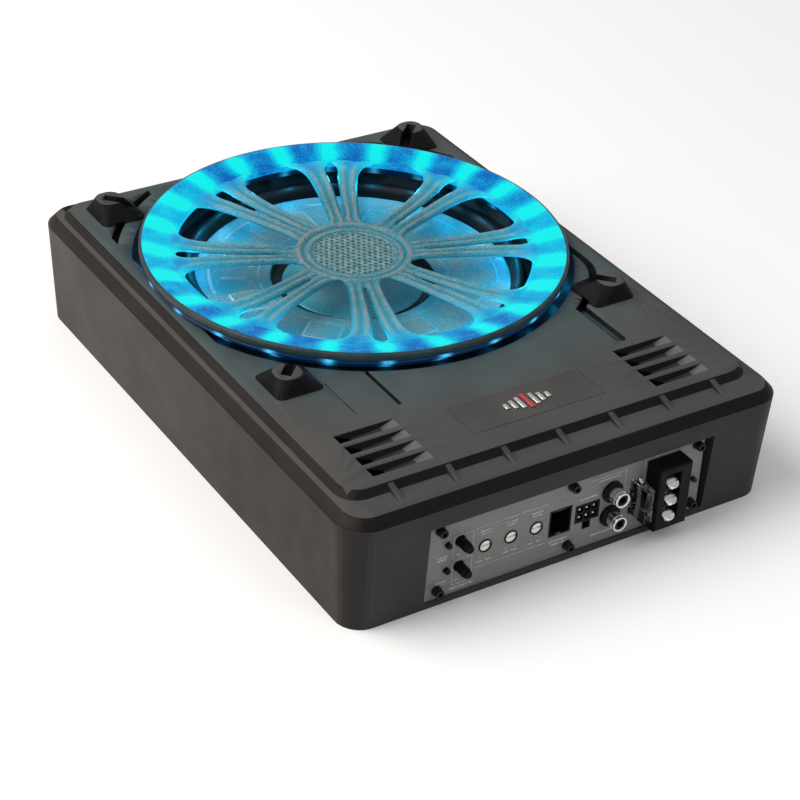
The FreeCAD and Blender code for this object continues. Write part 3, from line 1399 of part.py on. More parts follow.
def speaker_lead():
    """Twin lead from the driver terminal down to the amplifier board."""
    radius = 1.8
    top = Vector(0, float(driver_y - s.seat_inner_radius) + 0.2, float(terminal_low))
    board_edge = float(panel_back_y + s.board_gap + s.board_length)
    end = Vector(0, board_edge - 6, float(board_top))
    knee_height = (top.z + end.z) / 2
    bend = 4.0
    run = top.y - end.y
    side = 1 if run > 0 else -1
    points = [top, Vector(0, top.y, knee_height + bend),
              Vector(0, top.y - side * bend, knee_height),
              Vector(0, end.y + side * bend, knee_height),
              Vector(0, end.y, knee_height - bend), end]
    corner = bend * (1 - math.sqrt(0.5))
    first = Part.Arc(points[1], Vector(0, top.y - side * corner, knee_height + corner),
                     points[2])
    second = Part.Arc(points[3], Vector(0, end.y + side * corner, knee_height - corner),
                      points[4])
    route = Part.Wire([Part.makeLine(points[0], points[1]), first.toShape(),
                       Part.makeLine(points[2], points[3]), second.toShape(),
                       Part.makeLine(points[4], points[5])])
    ring = Part.Wire([Part.makeCircle(radius, points[0], Vector(0, 0, -1))])
    shaped("speaker_lead", route.makePipeShell([ring], True, False))


def build():
    top_shell()
    base_plate()
    base_screws()
    bracket_nuts()
    driver_parts()
    light_bezel()
    wheel_grille()
    hub_mesh()
    badge()
    control_panel()
    panel_screws()
    small_screws()
    indicator_lamps()
    trimmers()
    push_buttons()
    remote_socket()
    signal_header()
    phono_jacks()
    fuse_parts()
    terminal_block()
    for name, z in zip(("top", "middle", "bottom"), clamp_heights):
        clamp_screw(name, z)
    amplifier()
    damping_pad()
    speaker_lead()
    document.recompute()


def check_and_export():
    """Stop on any failed object, then write one STEP file for each sub-part."""
    for item in document.Objects:
        if "Invalid" in item.State or "Error" in item.State:
            raise RuntimeError("%s (%s) failed: %s" % (item.Name, item.Label, item.State))
    labels = [node.Label for node in nodes]
    if len(set(labels)) != len(labels):
        raise RuntimeError("two sub-parts share a label")
    for node in nodes:
        if node.Shape.isNull() or not node.Shape.isValid():
            raise RuntimeError(node.Label + " has no valid shape")
    os.makedirs("parts", exist_ok=True)
    for node in nodes:
        node.Shape.exportStep(os.path.join("parts", node.Label + ".step"))
        extent = node.Shape.BoundBox
        print("%-22s solids %2d  volume %10.1f  z %.1f to %.1f"
              % (node.Label, len(node.Shape.Solids), node.Shape.Volume,
                 extent.ZMin, extent.ZMax))
    print(len(nodes), "sub-parts")


build()
check_and_export()
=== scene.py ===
import json
import math
import random

import bmesh
import bpy
from mathutils import Matrix, Vector


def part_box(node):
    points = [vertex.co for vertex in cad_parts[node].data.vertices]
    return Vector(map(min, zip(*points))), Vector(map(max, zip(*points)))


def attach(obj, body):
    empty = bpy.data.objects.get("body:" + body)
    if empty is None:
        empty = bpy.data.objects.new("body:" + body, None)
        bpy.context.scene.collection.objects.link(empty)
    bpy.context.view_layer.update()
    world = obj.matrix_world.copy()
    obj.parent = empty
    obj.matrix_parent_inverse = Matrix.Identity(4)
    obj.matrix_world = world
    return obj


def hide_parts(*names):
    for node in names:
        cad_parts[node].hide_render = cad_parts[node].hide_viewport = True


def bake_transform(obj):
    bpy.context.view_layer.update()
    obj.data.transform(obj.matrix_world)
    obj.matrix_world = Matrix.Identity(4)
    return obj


# Powered car subwoofer. Lengths are metres unless a comment says mm.
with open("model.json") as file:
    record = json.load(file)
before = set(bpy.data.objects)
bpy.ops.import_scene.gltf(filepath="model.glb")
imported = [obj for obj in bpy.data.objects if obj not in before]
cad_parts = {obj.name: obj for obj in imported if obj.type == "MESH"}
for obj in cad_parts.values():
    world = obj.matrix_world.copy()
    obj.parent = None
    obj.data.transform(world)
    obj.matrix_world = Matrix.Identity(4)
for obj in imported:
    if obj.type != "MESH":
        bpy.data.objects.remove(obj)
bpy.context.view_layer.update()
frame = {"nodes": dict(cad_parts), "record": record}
nodes = frame["nodes"]
MM = 0.001

# Driving places, all read from the frame.
wheel_low, wheel_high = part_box("wheel_grille")
AXIS = Vector(((wheel_low.x + wheel_high.x) / 2, (wheel_low.y + wheel_high.y) / 2, 0))
LAMP_COUNT = 24
PAIRS = 8  # split spokes of the wheel, and raised pads of the cone
BRIGHT_SIDE = math.radians(34.0)  # the rim is brightest at this angle before X and opposite
NOISE_SPAN = (0.3, 0.7)  # most of a noise texture's values lie here
THROAT_RADIUS = 44.0  # mm, of the cone's sunken middle, where black shade is painted


# ---------------------------------------------------------------- materials

class Shader:
    """One node material, built around a Principled BSDF."""

    def __init__(self, name):
        self.material = bpy.data.materials.new(name)
        self.material.use_nodes = True
        self.tree = self.material.node_tree
        self.bsdf = self.tree.nodes["Principled BSDF"]
        self.place = self.add("ShaderNodeTexCoord").outputs["Object"]

    def add(self, kind, settings=None, **inputs):
        node = self.tree.nodes.new(kind)
        for key, value in (settings or {}).items():
            setattr(node, key, value)
        for key, value in inputs.items():
            self.feed(node.inputs[key.replace("_", " ")], value)
        return node

    def feed(self, socket, value):
        if isinstance(value, bpy.types.NodeSocket):
            self.tree.links.new(value, socket)
        else:
            socket.default_value = value

    def set(self, **inputs):
        """Constants or links for the shader's own sockets."""
        for key, value in inputs.items():
            self.feed(self.bsdf.inputs[key.replace("_", " ")], value)

    def math(self, operation, a, b=0.0, clamp=False):
        node = self.add("ShaderNodeMath", {"operation": operation, "use_clamp": clamp})
        self.feed(node.inputs[0], a)
        self.feed(node.inputs[1], b)
        return node.outputs[0]

    def noise(self, size, detail=3.0, stretch=(1, 1, 1)):
        """Noise whose blobs are about size metres across."""
        mapping = self.add("ShaderNodeMapping", Vector=self.place, Scale=stretch)
        node = self.add("ShaderNodeTexNoise", Vector=mapping.outputs[0],
                        Scale=1.0 / size, Detail=detail)
        return node.outputs["Fac"]

    def scaled(self, value, factor, offset):
        """value * factor + offset."""
        node = self.add("ShaderNodeMath", {"operation": "MULTIPLY_ADD"})
        for index, entry in enumerate((value, factor, offset)):
            self.feed(node.inputs[index], entry)
        return node.outputs[0]

    def product(self, first, *others):
        """Where all of several masks hold."""
        for other in others:
            first = self.math("MULTIPLY", first, other)
        return first

    def largest(self, first, *others):
        """Where any of several masks holds."""
        for other in others:
            first = self.math("MAXIMUM", first, other)
        return first

    def above(self, value, limit):
        return self.math("GREATER_THAN", value, limit)

    def below(self, value, limit):
        return self.math("LESS_THAN", value, limit)

    def outside(self, mask):
        return self.math("SUBTRACT", 1.0, mask)

    def spread(self, value, low, high, out_low=0.0, out_high=1.0):
        """Map a span to another, smoothly and clamped."""
        node = self.add("ShaderNodeMapRange", {"interpolation_type": "SMOOTHSTEP"})
        for index, entry in enumerate((value, low, high, out_low, out_high)):
            self.feed(node.inputs[index], entry)
        return node.outputs[0]

    def wander(self, noise, low=0.0, high=1.0):
        """A value that goes from low to high with a noise."""
        return self.spread(noise, *NOISE_SPAN, low, high)

    def mix(self, factor, a, b):
        node = self.add("ShaderNodeMix", {"data_type": "RGBA"})
        self.feed(node.inputs[0], factor)
        self.feed(node.inputs[6], a)
        self.feed(node.inputs[7], b)
        return node.outputs[2]

    def shade(self, color, amount, size, stretch=(1, 1, 1)):
        """A colour that wanders by a share of itself."""
        dark = tuple(c * (1 - amount) for c in color[:3]) + (1.0,)
        light = tuple(min(1.0, c * (1 + amount)) for c in color[:3]) + (1.0,)
        return self.mix(self.wander(self.noise(size, 4.0, stretch)), dark, light)

    def relief(self, height, depth, edge=0.0):
        """Bump of a depth in metres over edges rounded by a radius."""
        bump = self.add("ShaderNodeBump", Strength=1.0, Distance=depth, Height=height)
        if edge > 0:
            rounded = self.add("ShaderNodeBevel", {"samples": 4}, Radius=edge)
            self.feed(bump.inputs["Normal"], rounded.outputs[0])
        self.set(Normal=bump.outputs[0])

    def drawn(self, name):
        """A value that the mesh carries at its points."""
        return self.add("ShaderNodeAttribute", {"attribute_name": name}).outputs["Fac"]

    def split(self, vector):
        """The X, Y and Z of a vector."""
        return tuple(self.add("ShaderNodeSeparateXYZ", Vector=vector).outputs)

    def polar(self):
        """Distance from the driver axis, the angle about it, and the height."""
        shifted = self.add("ShaderNodeVectorMath", {"operation": "SUBTRACT"})
        self.feed(shifted.inputs[0], self.place)
        self.feed(shifted.inputs[1], tuple(AXIS))
        x, y, z = self.split(shifted.outputs[0])
        squares = self.math("ADD", self.math("MULTIPLY", x, x), self.math("MULTIPLY", y, y))
        return self.math("SQRT", squares), self.math("ARCTAN2", y, x), z

    def lamp_spots(self, angle, sharpness):
        """1 in front of each lamp, 0 midway between two."""
        wave = self.math("COSINE", self.math("MULTIPLY", angle, float(LAMP_COUNT)))
        return self.math("POWER", self.scaled(wave, -0.5, 0.5), sharpness)


def surface(name, color, roughness=0.5, metallic=0.0, vary=0.12, blotch=0.03, grain=0.0006,
            depth=0.00002, stretch=(1, 1, 1), edge=0.0004, coat=0.0, rough_vary=0.08,
            shine=0.5):
    """A moulded, painted or metal surface with grain, tone and gloss that wander."""
    shader = Shader(name)
    shader.set(Base_Color=shader.shade(color, vary, blotch, stretch),
               Metallic=metallic, Coat_Weight=coat, Specular_IOR_Level=shine)
    gloss = shader.noise(blotch * 0.6, 3.0, stretch)
    shader.set(Roughness=shader.wander(gloss, roughness - rough_vary,
                                       roughness + rough_vary))
    shader.relief(shader.noise(grain, 2.0, stretch), depth, edge)
    return shader.material


def shell_material():
    """Fine-textured black moulding with painted light and shade: near-black painted shade in
    cuts, towers and the well, painted shade on steps and lower walls, painted warm key light on
    the left side, painted teal lamp light round the wheel and in the channel, darker painted vent
    floors and lighter painted vent ramps.
    """
    shader = Shader("shell_moulding")
    radius, _, height = shader.polar()
    x, y, _ = shader.split(shader.place)
    normal = shader.add("ShaderNodeNewGeometry").outputs["True Normal"]
    facing_x, facing_y, facing_z = shader.split(normal)
    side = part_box("top_shell")[1].x
    badge_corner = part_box("badge_plate")[1]
    deck = badge_corner.z
    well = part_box("grille_bezel")[1].x
    deck_side = side - 11.4 * MM
    deck_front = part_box("control_panel")[0].y + 19.0 * MM
    vents_back = badge_corner.y + 8.0 * MM
    vents_side = badge_corner.x + 61.0 * MM
    tower_top = deck + 7.6 * MM
    step_foot = deck - 8.8 * MM
    channel_left, channel_right = 70.8 * MM, 77.7 * MM
    channel_back = AXIS.y - 100.5 * MM

    flat = shader.above(facing_z, 0.93)
    sloped = shader.outside(flat)
    upright = shader.below(shader.math("ABSOLUTE", facing_z), 0.3)
    across = shader.math("ABSOLUTE", x)
    on_deck = shader.product(shader.below(across, deck_side), shader.above(y, deck_front))
    step = shader.product(shader.above(height, step_foot),
                          shader.below(height, deck - 0.2 * MM), sloped,
                          shader.outside(on_deck))
    cut = shader.product(on_deck, shader.below(height, deck - 0.4 * MM))
    vents = shader.product(shader.below(y, vents_back), shader.below(across, vents_side))
    floor = shader.product(cut, flat, shader.outside(vents))
    recess = shader.product(shader.below(radius, well), shader.below(height, deck - 3.0 * MM))
    tower = shader.product(shader.above(height, deck + 0.2 * MM),
                           shader.below(height, tower_top))
    slot = shader.product(sloped, shader.above(height, tower_top))
    # Painted shade: floors and walls of cuts below the deck, the towers, their slots and the well
    # round the driver are coloured near black where shade falls.
    black = shader.largest(floor, shader.product(cut, upright), tower, slot, recess)
    # Painted teal lamp light on the channel floor, in place of the painted black shade.
    channel = shader.product(shader.above(x, channel_left), shader.below(x, channel_right),
                             shader.below(y, channel_back), floor)
    # Painted shade on the vent floors: darker than the deck, lighter than the near-black painted
    # shade.
    vent_floor = shader.product(cut, vents, flat)
    # Painted light: the vent ramps, which face the key light, are coloured lighter than the deck.
    ramp = shader.product(cut, vents, sloped, shader.outside(upright))

    # Painted warm key light: within 10 mm of the left side the shell takes a warmer tone.
    left = shader.spread(x, -side, 10.0 * MM - side, 1.0, 0.0)
    tone = shader.mix(left, shader.shade((0.066, 0.0635, 0.061), 0.08, 0.05),
                      shader.shade((0.066, 0.058, 0.052), 0.08, 0.05))
    # Painted teal lamp light on the deck round the wheel, fading outwards.
    level = shader.product(shader.above(height, deck - 0.3 * MM),
                           shader.below(height, deck + 0.3 * MM))
    lit = shader.product(shader.spread(radius, 0.124, 0.172, 0.85, 0.0), level)
    tone = shader.mix(lit, tone, shader.shade((0.060, 0.083, 0.086), 0.10, 0.03))
    # Painted shade: walls below the steps darken towards the front and on the corners that face
    # front-left and back-right.
    wall = shader.product(shader.below(facing_z, 0.5), shader.below(height, step_foot))
    front_shade = shader.spread(y, -0.16, 0.16, 0.42, 0.06)
    corner = shader.spread(shader.product(facing_x, facing_y), 0.08, 0.5, 0.0, 0.25)
    wall_shade = shader.product(shader.math("ADD", front_shade, corner), wall)
    tone = shader.mix(wall_shade, tone, (0.0, 0.0, 0.0, 1))
    # Painted shade on the sloped steps and chamfers below the deck: near black, a little lighter
    # on faces that turn left towards the key light.
    key_lit_side = shader.spread(facing_x, -0.6, -0.3, 1.0, 0.0)
    dark = shader.mix(key_lit_side, shader.shade((0.007, 0.0066, 0.0066), 0.15, 0.05),
                      shader.shade((0.020, 0.0165, 0.0148), 0.15, 0.05))
    # Near-black colour of the painted shade.
    ink_and_painted_shade = shader.shade((0.0042, 0.0042, 0.0044), 0.2, 0.01)
    tone = shader.mix(step, tone, dark)
    tone = shader.mix(black, tone, ink_and_painted_shade)
    tone = shader.mix(channel, tone, shader.shade((0.028, 0.048, 0.052), 0.1, 0.01))
    tone = shader.mix(vent_floor, tone, shader.shade((0.040, 0.039, 0.038), 0.1, 0.01))
    tone = shader.mix(ramp, tone, shader.shade((0.125, 0.125, 0.122), 0.08, 0.01))
    shader.set(Base_Color=tone, Specular_IOR_Level=0.10,
               Roughness=shader.wander(shader.noise(0.02), 0.50, 0.62))
    shader.relief(shader.noise(0.0009, 2.0), 0.00005, 0.0005)
    return shader.material


def lit_rim_material():
    """Frosted clear rim lit from below by the circle of lamps."""
    shader = Shader("lit_rim")
    radius, angle, _ = shader.polar()
    inner = shader.spread(radius, 0.093, 0.100, 0.15, 1.0)
    outer = shader.spread(radius, 0.1145, 0.109, 0.35, 1.0)
    spots = shader.product(inner, outer, shader.lamp_spots(angle, 2.2))
    from_side = shader.scaled(angle, 2.0, 2.0 * BRIGHT_SIDE)
    sides = shader.spread(shader.math("COSINE", from_side), -0.2, 1.0)
    frost = shader.noise(0.0012, 4.0)
    streak = shader.noise(0.010, 3.0)
    level = shader.math("ADD", spots, shader.product(shader.wander(frost), 0.22))
    level = shader.math("ADD", level, shader.product(streak, 0.7))
    level = shader.math("ADD", level, shader.product(sides, 0.36))
    level = shader.math("SUBTRACT", level, 0.30, True)
    near = shader.mix(shader.spread(level, 0.02, 0.5), (0.0, 0.115, 0.50, 1),
                      (0.0, 0.46, 0.78, 1))
    lit = shader.mix(shader.spread(level, 0.4, 1.0), near, (0.0, 0.90, 0.88, 1))
    shader.set(Base_Color=shader.mix(level, (0.0, 0.02, 0.05, 1), (0.0, 0.06, 0.07, 1)),
               Roughness=0.4, Specular_IOR_Level=0.10, Emission_Color=lit,
               Emission_Strength=0.88)
    shader.relief(frost, 0.00008, 0.0005)
    return shader.material


def rim_wall_material():
    """Outer wall of the rim: dull, hardly lit."""
    shader = Shader("rim_wall")
    shader.set(Base_Color=shader.shade((0.030, 0.029, 0.027), 0.25, 0.006), Roughness=0.4,
               Specular_IOR_Level=0.2, Emission_Color=(0.0, 0.25, 0.34, 1),
               Emission_Strength=0.07)
    shader.relief(shader.noise(0.0012), 0.00004)
    return shader.material


def lip_material(name, strength):
    """Gloss black carrying painted lamp light: a bright blue streak in front of each lamp, a dim
    blue glow between.
    """
    shader = Shader(name)
    _, angle, _ = shader.polar()
    # Painted lamp light streaks, broken up by noise.
    lamp_streak = shader.product(shader.lamp_spots(angle, 12.0),
                            shader.spread(shader.noise(0.004), 0.25, 0.6, 0.45, 1.0))
    shader.set(Base_Color=shader.shade((0.004, 0.006, 0.010), 0.3, 0.01), Roughness=0.18,
               Specular_IOR_Level=0.22,
               Emission_Color=shader.mix(lamp_streak, (0.0, 0.012, 0.045, 1),
                                         (0.05, 0.50, 0.95, 1)),
               Emission_Strength=strength)
    shader.relief(shader.noise(0.003), 0.00003)
    return shader.material


def spoke_material():
    """Frosted tinted plastic: painted grey highlights on the ridges, blue-green tint in the
    hollows, painted lamp glow towards the rim.
    """
    shader = Shader("frosted_spokes")
    radius, angle, _ = shader.polar()
    speckle = shader.noise(0.0009, 5.0)
    cloud = shader.noise(0.009, 4.0)
    # Painted highlight: the ridges are coloured grey, the hollows keep the blue-green tint.
    ridge = shader.product(shader.drawn("ridge"), shader.spread(cloud, 0.35, 0.6, 0.45, 1.0))
    fine = shader.wander(speckle)
    hollow = shader.mix(fine, (0.0, 0.085, 0.14, 1), (0.005, 0.25, 0.33, 1))
    ridge_highlight = shader.mix(fine, (0.10, 0.15, 0.155, 1), (0.30, 0.29, 0.27, 1))
    tone = shader.mix(ridge, hollow, ridge_highlight)
    # Painted lamp light: the emission glows brighter towards the rim, strongest in front of each
    # lamp; under the rim the base colour goes dark.
    rim = shader.spread(radius, 0.082, 0.0945)
    glow = shader.mix(shader.spread(radius, 0.045, 0.09), (0.0, 0.025, 0.035, 1),
                      (0.0, 0.16, 0.24, 1))
    lamps = shader.product(shader.lamp_spots(angle, 1.5), 0.8)
    lamps = shader.math("ADD", lamps, shader.spread(cloud, 0.30, 0.70, 0.0, 0.35), True)
    rim_glow = shader.mix(lamps, (0.0, 0.22, 0.58, 1), (0.0, 0.80, 0.84, 1))
    shader.set(Base_Color=shader.mix(rim, tone, (0.0, 0.05, 0.08, 1)),
               Roughness=shader.wander(speckle, 0.32, 0.55),
               Transmission_Weight=0.12, IOR=1.49, Specular_IOR_Level=0.35,
               Emission_Color=shader.mix(rim, glow, rim_glow), Emission_Strength=0.85)
    shader.relief(speckle, 0.00012)
    return shader.material


def cone_material():
    """Satin metal-faced cone with a fine grain; painted black shade inside its throat, painted
    highlights on its relief edges and painted blue lamp glow towards its rim.
    """
    shader = Shader("cone_face")
    radius, angle, _ = shader.polar()
    speckle = shader.noise(0.0008, 4.0)
    fine = shader.wander(speckle)
    plain = shader.mix(fine, (0.085, 0.20, 0.22, 1), (0.20, 0.34, 0.355, 1))
    blue = shader.mix(fine, (0.02, 0.20, 0.28, 1), (0.05, 0.36, 0.46, 1))
    tone = shader.mix(shader.spread(shader.noise(0.02, 3.0), 0.4, 0.65), plain, blue)
    # Painted highlights on the edges of the relief: warm on the side of the cone towards the key
    # light, cyan lamp light on the rest.
    key_side = shader.spread(shader.math("COSINE", shader.math("ADD", angle, 0.6)), 0.2, -0.5)
    edge = shader.mix(key_side, (0.03, 0.50, 0.66, 1), (0.50, 0.46, 0.44, 1))
    tone = shader.mix(shader.product(shader.drawn("line"), 0.8), tone, edge)
    # Painted black shade inside the sunken throat.
    throat = shader.below(radius, THROAT_RADIUS * MM)
    # Painted blue lamp glow over the outer band of the face.
    rim = shader.spread(radius, 0.070, 0.083)
    glow = shader.mix(rim, (0.0, 0.012, 0.018, 1), (0.0, 0.055, 0.085, 1))
    shader.set(Base_Color=shader.mix(throat, tone, (0.0015, 0.002, 0.003, 1)),
               Metallic=0.15, Specular_IOR_Level=0.3,
               Emission_Color=shader.mix(throat, glow, (0, 0, 0, 1)), Emission_Strength=1.0,
               Roughness=shader.wander(shader.noise(0.01), 0.40, 0.55))
    shader.relief(speckle, 0.00005)
    return shader.material


def cap_material():
    """Dust cap: the same satin face, a little bluer towards its rim."""
    shader = Shader("dust_cap_face")
    radius, _, _ = shader.polar()
    speckle = shader.noise(0.0008, 4.0)
    fine = shader.wander(speckle)
    middle = shader.mix(fine, (0.12, 0.29, 0.32, 1), (0.23, 0.44, 0.47, 1))
    outer = shader.mix(fine, (0.03, 0.22, 0.27, 1), (0.09, 0.38, 0.43, 1))
    shader.set(Base_Color=shader.mix(shader.spread(radius, 0.020, 0.036), middle, outer),
               Metallic=0.15, Specular_IOR_Level=0.3, Roughness=0.45)
    shader.relief(speckle, 0.00005)
    return shader.material


def clear_material():
    """Clear moulded plastic of the blade fuse."""
    shader = Shader("fuse_clear")
    wave = shader.noise(0.004, 2.0)
    shader.set(Base_Color=shader.mix(wave, (0.86, 0.88, 0.88, 1), (0.98, 0.98, 0.98, 1)),
               Transmission_Weight=1.0, IOR=1.16, Specular_IOR_Level=0.5,
               Roughness=shader.wander(wave, 0.02, 0.08))
    shader.relief(wave, 0.0002)
    return shader.material


def lamp_material():
    """Lit lens of a lamp under the wheel."""
    shader = Shader("led_lens")
    cell = shader.noise(0.002)
    shader.set(Base_Color=shader.mix(cell, (0.3, 0.8, 0.9, 1), (0.6, 1.0, 1.0, 1)),
               Roughness=0.3, Emission_Color=shader.mix(cell, (0, 0.75, 0.9, 1), (0, 1, 1, 1)),
               Emission_Strength=3.0)
    return shader.material


def board_material():
    """Green solder mask with brighter copper tracks under it."""
    shader = Shader("amplifier_board_mask")
    tracks = shader.add("ShaderNodeTexBrick", {"offset": 0.37}, Vector=shader.place,
                        Scale=140.0, Color1=(0.010, 0.09, 0.035, 1),
                        Color2=(0.014, 0.12, 0.05, 1), Mortar=(0.03, 0.2, 0.09, 1))
    shader.set(Base_Color=tracks.outputs["Color"], Roughness=0.3)
    shader.relief(tracks.outputs["Fac"], 0.00003)
    return shader.material


def wound_material():
    """Enamelled copper winding: close turns running round the core."""
    shader = Shader("copper_winding")
    wave = shader.add("ShaderNodeTexWave", {"bands_direction": "Z"}, Vector=shader.place,
                      Scale=450.0, Distortion=2.0).outputs["Fac"]
    shader.set(Base_Color=shader.mix(wave, (0.20, 0.05, 0.02, 1), (0.62, 0.25, 0.10, 1)),
               Metallic=0.8, Roughness=0.35)
    shader.relief(wave, 0.0002)
    return shader.material


def cloth_material():
    """Woven, resin-stiffened cloth of the spider."""
    shader = Shader("spider_cloth")
    weave = shader.add("ShaderNodeTexChecker", Vector=shader.place, Scale=900.0).outputs["Fac"]
    shader.set(Base_Color=shader.mix(weave, (0.35, 0.22, 0.07, 1), (0.55, 0.38, 0.14, 1)),
               Roughness=0.8)
    shader.relief(weave, 0.0001)
    return shader.material


def build_materials():
    """Every finish by name."""
    brushed = (1.0, 14.0, 14.0)
    return {
        "shell": shell_material(),
        "rim": lit_rim_material(),
        "rim_wall": rim_wall_material(),
        # Both carry painted lamp light: strong on the rim's lip, weaker on the bezel.
        "lip": lip_material("rim_lip", 1.3),
        "bezel": lip_material("bezel_gloss", 0.55),
        "spokes": spoke_material(),
        "cone": cone_material(),
        "cap": cap_material(),
        "fuse": clear_material(),
        "lamp": lamp_material(),
        "board": board_material(),
        "winding": wound_material(),
        "cloth": cloth_material(),
        "black_paint": surface("black_powder_coat", (0.02, 0.02, 0.021), 0.5, depth=0.00006,
                               grain=0.0008),
        "zinc": surface("zinc_plate", (0.55, 0.55, 0.56), 0.35, 1.0, blotch=0.004),
        "screw": surface("black_oxide", (0.012, 0.012, 0.0125), 0.34, 0.35, edge=0.0002,
                         shine=0.4),
        "foam": surface("gasket_foam", (0.022, 0.022, 0.022), 0.9, grain=0.0008,
                        depth=0.0001),
        "basket": surface("basket_paint", (0.006, 0.006, 0.007), 0.45, shine=0.2),
        "ferrite": surface("ferrite_ring", (0.05, 0.05, 0.053), 0.7, grain=0.0007,
                           depth=0.00005),
        "steel": surface("motor_steel", (0.34, 0.34, 0.35), 0.42, 1.0, blotch=0.01),
        "foil": surface("former_foil", (0.7, 0.7, 0.72), 0.3, 1.0),
        "rubber": surface("surround_rubber", (0.004, 0.0045, 0.005), 0.5, grain=0.001,
                          depth=0.00003, shine=0.15),
        "mask": surface("white_mask", (0.7, 0.73, 0.74), 0.4),
        "hub": surface("hub_tint", (0.115, 0.235, 0.255), 0.45, 0.1, 0.35, 0.003,
                       rough_vary=0.1, shine=0.3),
        "badge": surface("badge_moulding", (0.064, 0.0615, 0.059), 0.56, grain=0.0009,
                         depth=0.00005, edge=0.0003, shine=0.12),
        "bright": surface("badge_brushed", (0.74, 0.73, 0.70), 0.28, 1.0, 0.10, 0.003,
                          stretch=brushed, edge=0.0002),
        "red": surface("badge_red", (0.42, 0.012, 0.02), 0.3, 0.0, coat=0.6, edge=0.0002),
        "panel": surface("panel_anodised", (0.185, 0.180, 0.177), 0.42, 0.15, 0.10, 0.01,
                         grain=0.0015, depth=0.00001, stretch=brushed, edge=0.0003,
                         shine=0.3),
        "print": surface("panel_print", (0.40, 0.40, 0.39), 0.6, vary=0.3, blotch=0.002,
                         edge=0.0, shine=0.2),
        "black": surface("black_plastic", (0.0032, 0.0032, 0.0034), 0.42, edge=0.0003,
                         shine=0.10),
        "white": surface("white_plastic", (0.80, 0.79, 0.76), 0.4, vary=0.05, edge=0.0003),
        "gold": surface("gold_contact", (0.80, 0.55, 0.15), 0.3, 1.0, blotch=0.003),
        "tin": surface("tinned_pin", (0.8, 0.8, 0.8), 0.3, 1.0, blotch=0.002),
        "nickel": surface("nickel_plate", (0.78, 0.77, 0.75), 0.16, 1.0, blotch=0.004,
                          edge=0.0003, rough_vary=0.05),
        "sink": surface("extruded_aluminium", (0.55, 0.55, 0.56), 0.38, 1.0,
                        stretch=(1, 1, 10)),
        "sleeve": surface("capacitor_sleeve", (0.012, 0.014, 0.05), 0.3),
        "felt": surface("felt_pad", (0.30, 0.30, 0.28), 0.95, vary=0.3, blotch=0.002,
                        grain=0.0012, depth=0.0005),
        "lead": surface("lead_jacket", (0.02, 0.02, 0.02), 0.5),
    }


look = build_materials()

NODE_LOOKS = {
    "shell": ["top_shell"],
    "black_paint": ["base_plate"],
    "screw": ["base_screws", "driver_screws", "bezel_screws", "panel_screws",
              "small_screws"],
    "zinc": ["bracket_nuts", "fuse_blades", "board_standoffs", "transformer_clamp"],
    "foam": ["driver_gasket"],
    "basket": ["driver_basket"],
    "ferrite": ["magnet_ring"],
    "steel": ["magnet_top_plate", "pole_back_plate"],
    "foil": ["voice_coil_former"],
    "winding": ["voice_coil", "transformer_toroid"],
    "cone": ["cone"],
    "cap": ["dust_cap"],
    "cloth": ["spider"],
    "rubber": ["surround"],
    "black": ["driver_terminal", "trimmer_bodies", "push_button_upper",
              "push_button_lower", "switch_housings", "remote_socket", "header_housing",
              "jack_collars", "jack_insulators", "jack_block", "fuse_holder",
              "terminal_block", "output_transistors", "indicator_lamps"],
    "bezel": ["grille_bezel"],
    "mask": ["led_strip"],
    "lamp": ["led_chips"],
    "spokes": ["wheel_grille"],
    "hub": ["hub_mesh"],
    "badge": ["badge_plate"],
    "bright": ["badge_emblem"],
    "panel": ["control_panel"],
    "white": ["trimmer_shaft_1", "trimmer_shaft_2", "trimmer_shaft_3"],
    "gold": ["remote_contacts"],
    "tin": ["header_pins"],
    "nickel": ["jack_barrels", "clamp_screw_top", "clamp_screw_middle",
               "clamp_screw_bottom"],
    "fuse": ["fuse_body"],
    "board": ["amp_board"],
    "sink": ["heat_sink"],
    "sleeve": ["filter_capacitors"],
    "felt": ["damping_pad"],
    "lead": ["speaker_lead"],
}
for finish, members in NODE_LOOKS.items():
    for member in members:
        nodes[member].data.materials.clear()
        nodes[member].data.materials.append(look[finish])

SLOT = {row["node"]: row["material_slot"] for row in frame["record"]["subparts"]}
WELD = 0.02 * MM  # points closer than this in a sheet are one
FORWARD = Vector((0, -1, 0))  # out of the control panel


# ---------------------------------------------------------------- mesh tools

def clamp(value):
    """A value held between 0 and 1."""
    return min(1.0, max(0.0, value))


def bell(x):
    """A smooth bump: 1 at 0, 0 from 1 outwards."""
    return 0.0 if abs(x) >= 1 else (1 - x * x) ** 2


def middle_of(node):
    low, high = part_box(node)
    return (low + high) / 2


def on_axis(radius, angle, height):
    """The place of a radius, angle and height in mm about the driver's axis."""
    return Vector((radius * math.cos(angle), radius * math.sin(angle), height)) * MM + AXIS


def built(build, name, face_up=False):
    """The mesh of a bmesh that is finished and freed, turned to face up if asked."""
    mesh = bpy.data.meshes.new(name)
    build.to_mesh(mesh)
    build.free()
    if face_up and sum(face.normal.z for face in mesh.polygons) < 0:
        mesh.flip_normals()
    return mesh


def finish_mesh(name, mesh, materials, body, replaced=None, slot=None, sharp=35.0):
    """Put a mesh in the scene as a piece of the object."""
    mesh.update()
    mesh.shade_smooth()
    mesh.set_sharp_from_angle(angle=math.radians(sharp))
    piece = bpy.data.objects.new(name, mesh)
    bpy.context.scene.collection.objects.link(piece)
    for material in materials:
        mesh.materials.append(material)
    if replaced:
        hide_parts(replaced)
        slot = slot or SLOT[replaced]
    if body:
        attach(piece, body)
    return piece


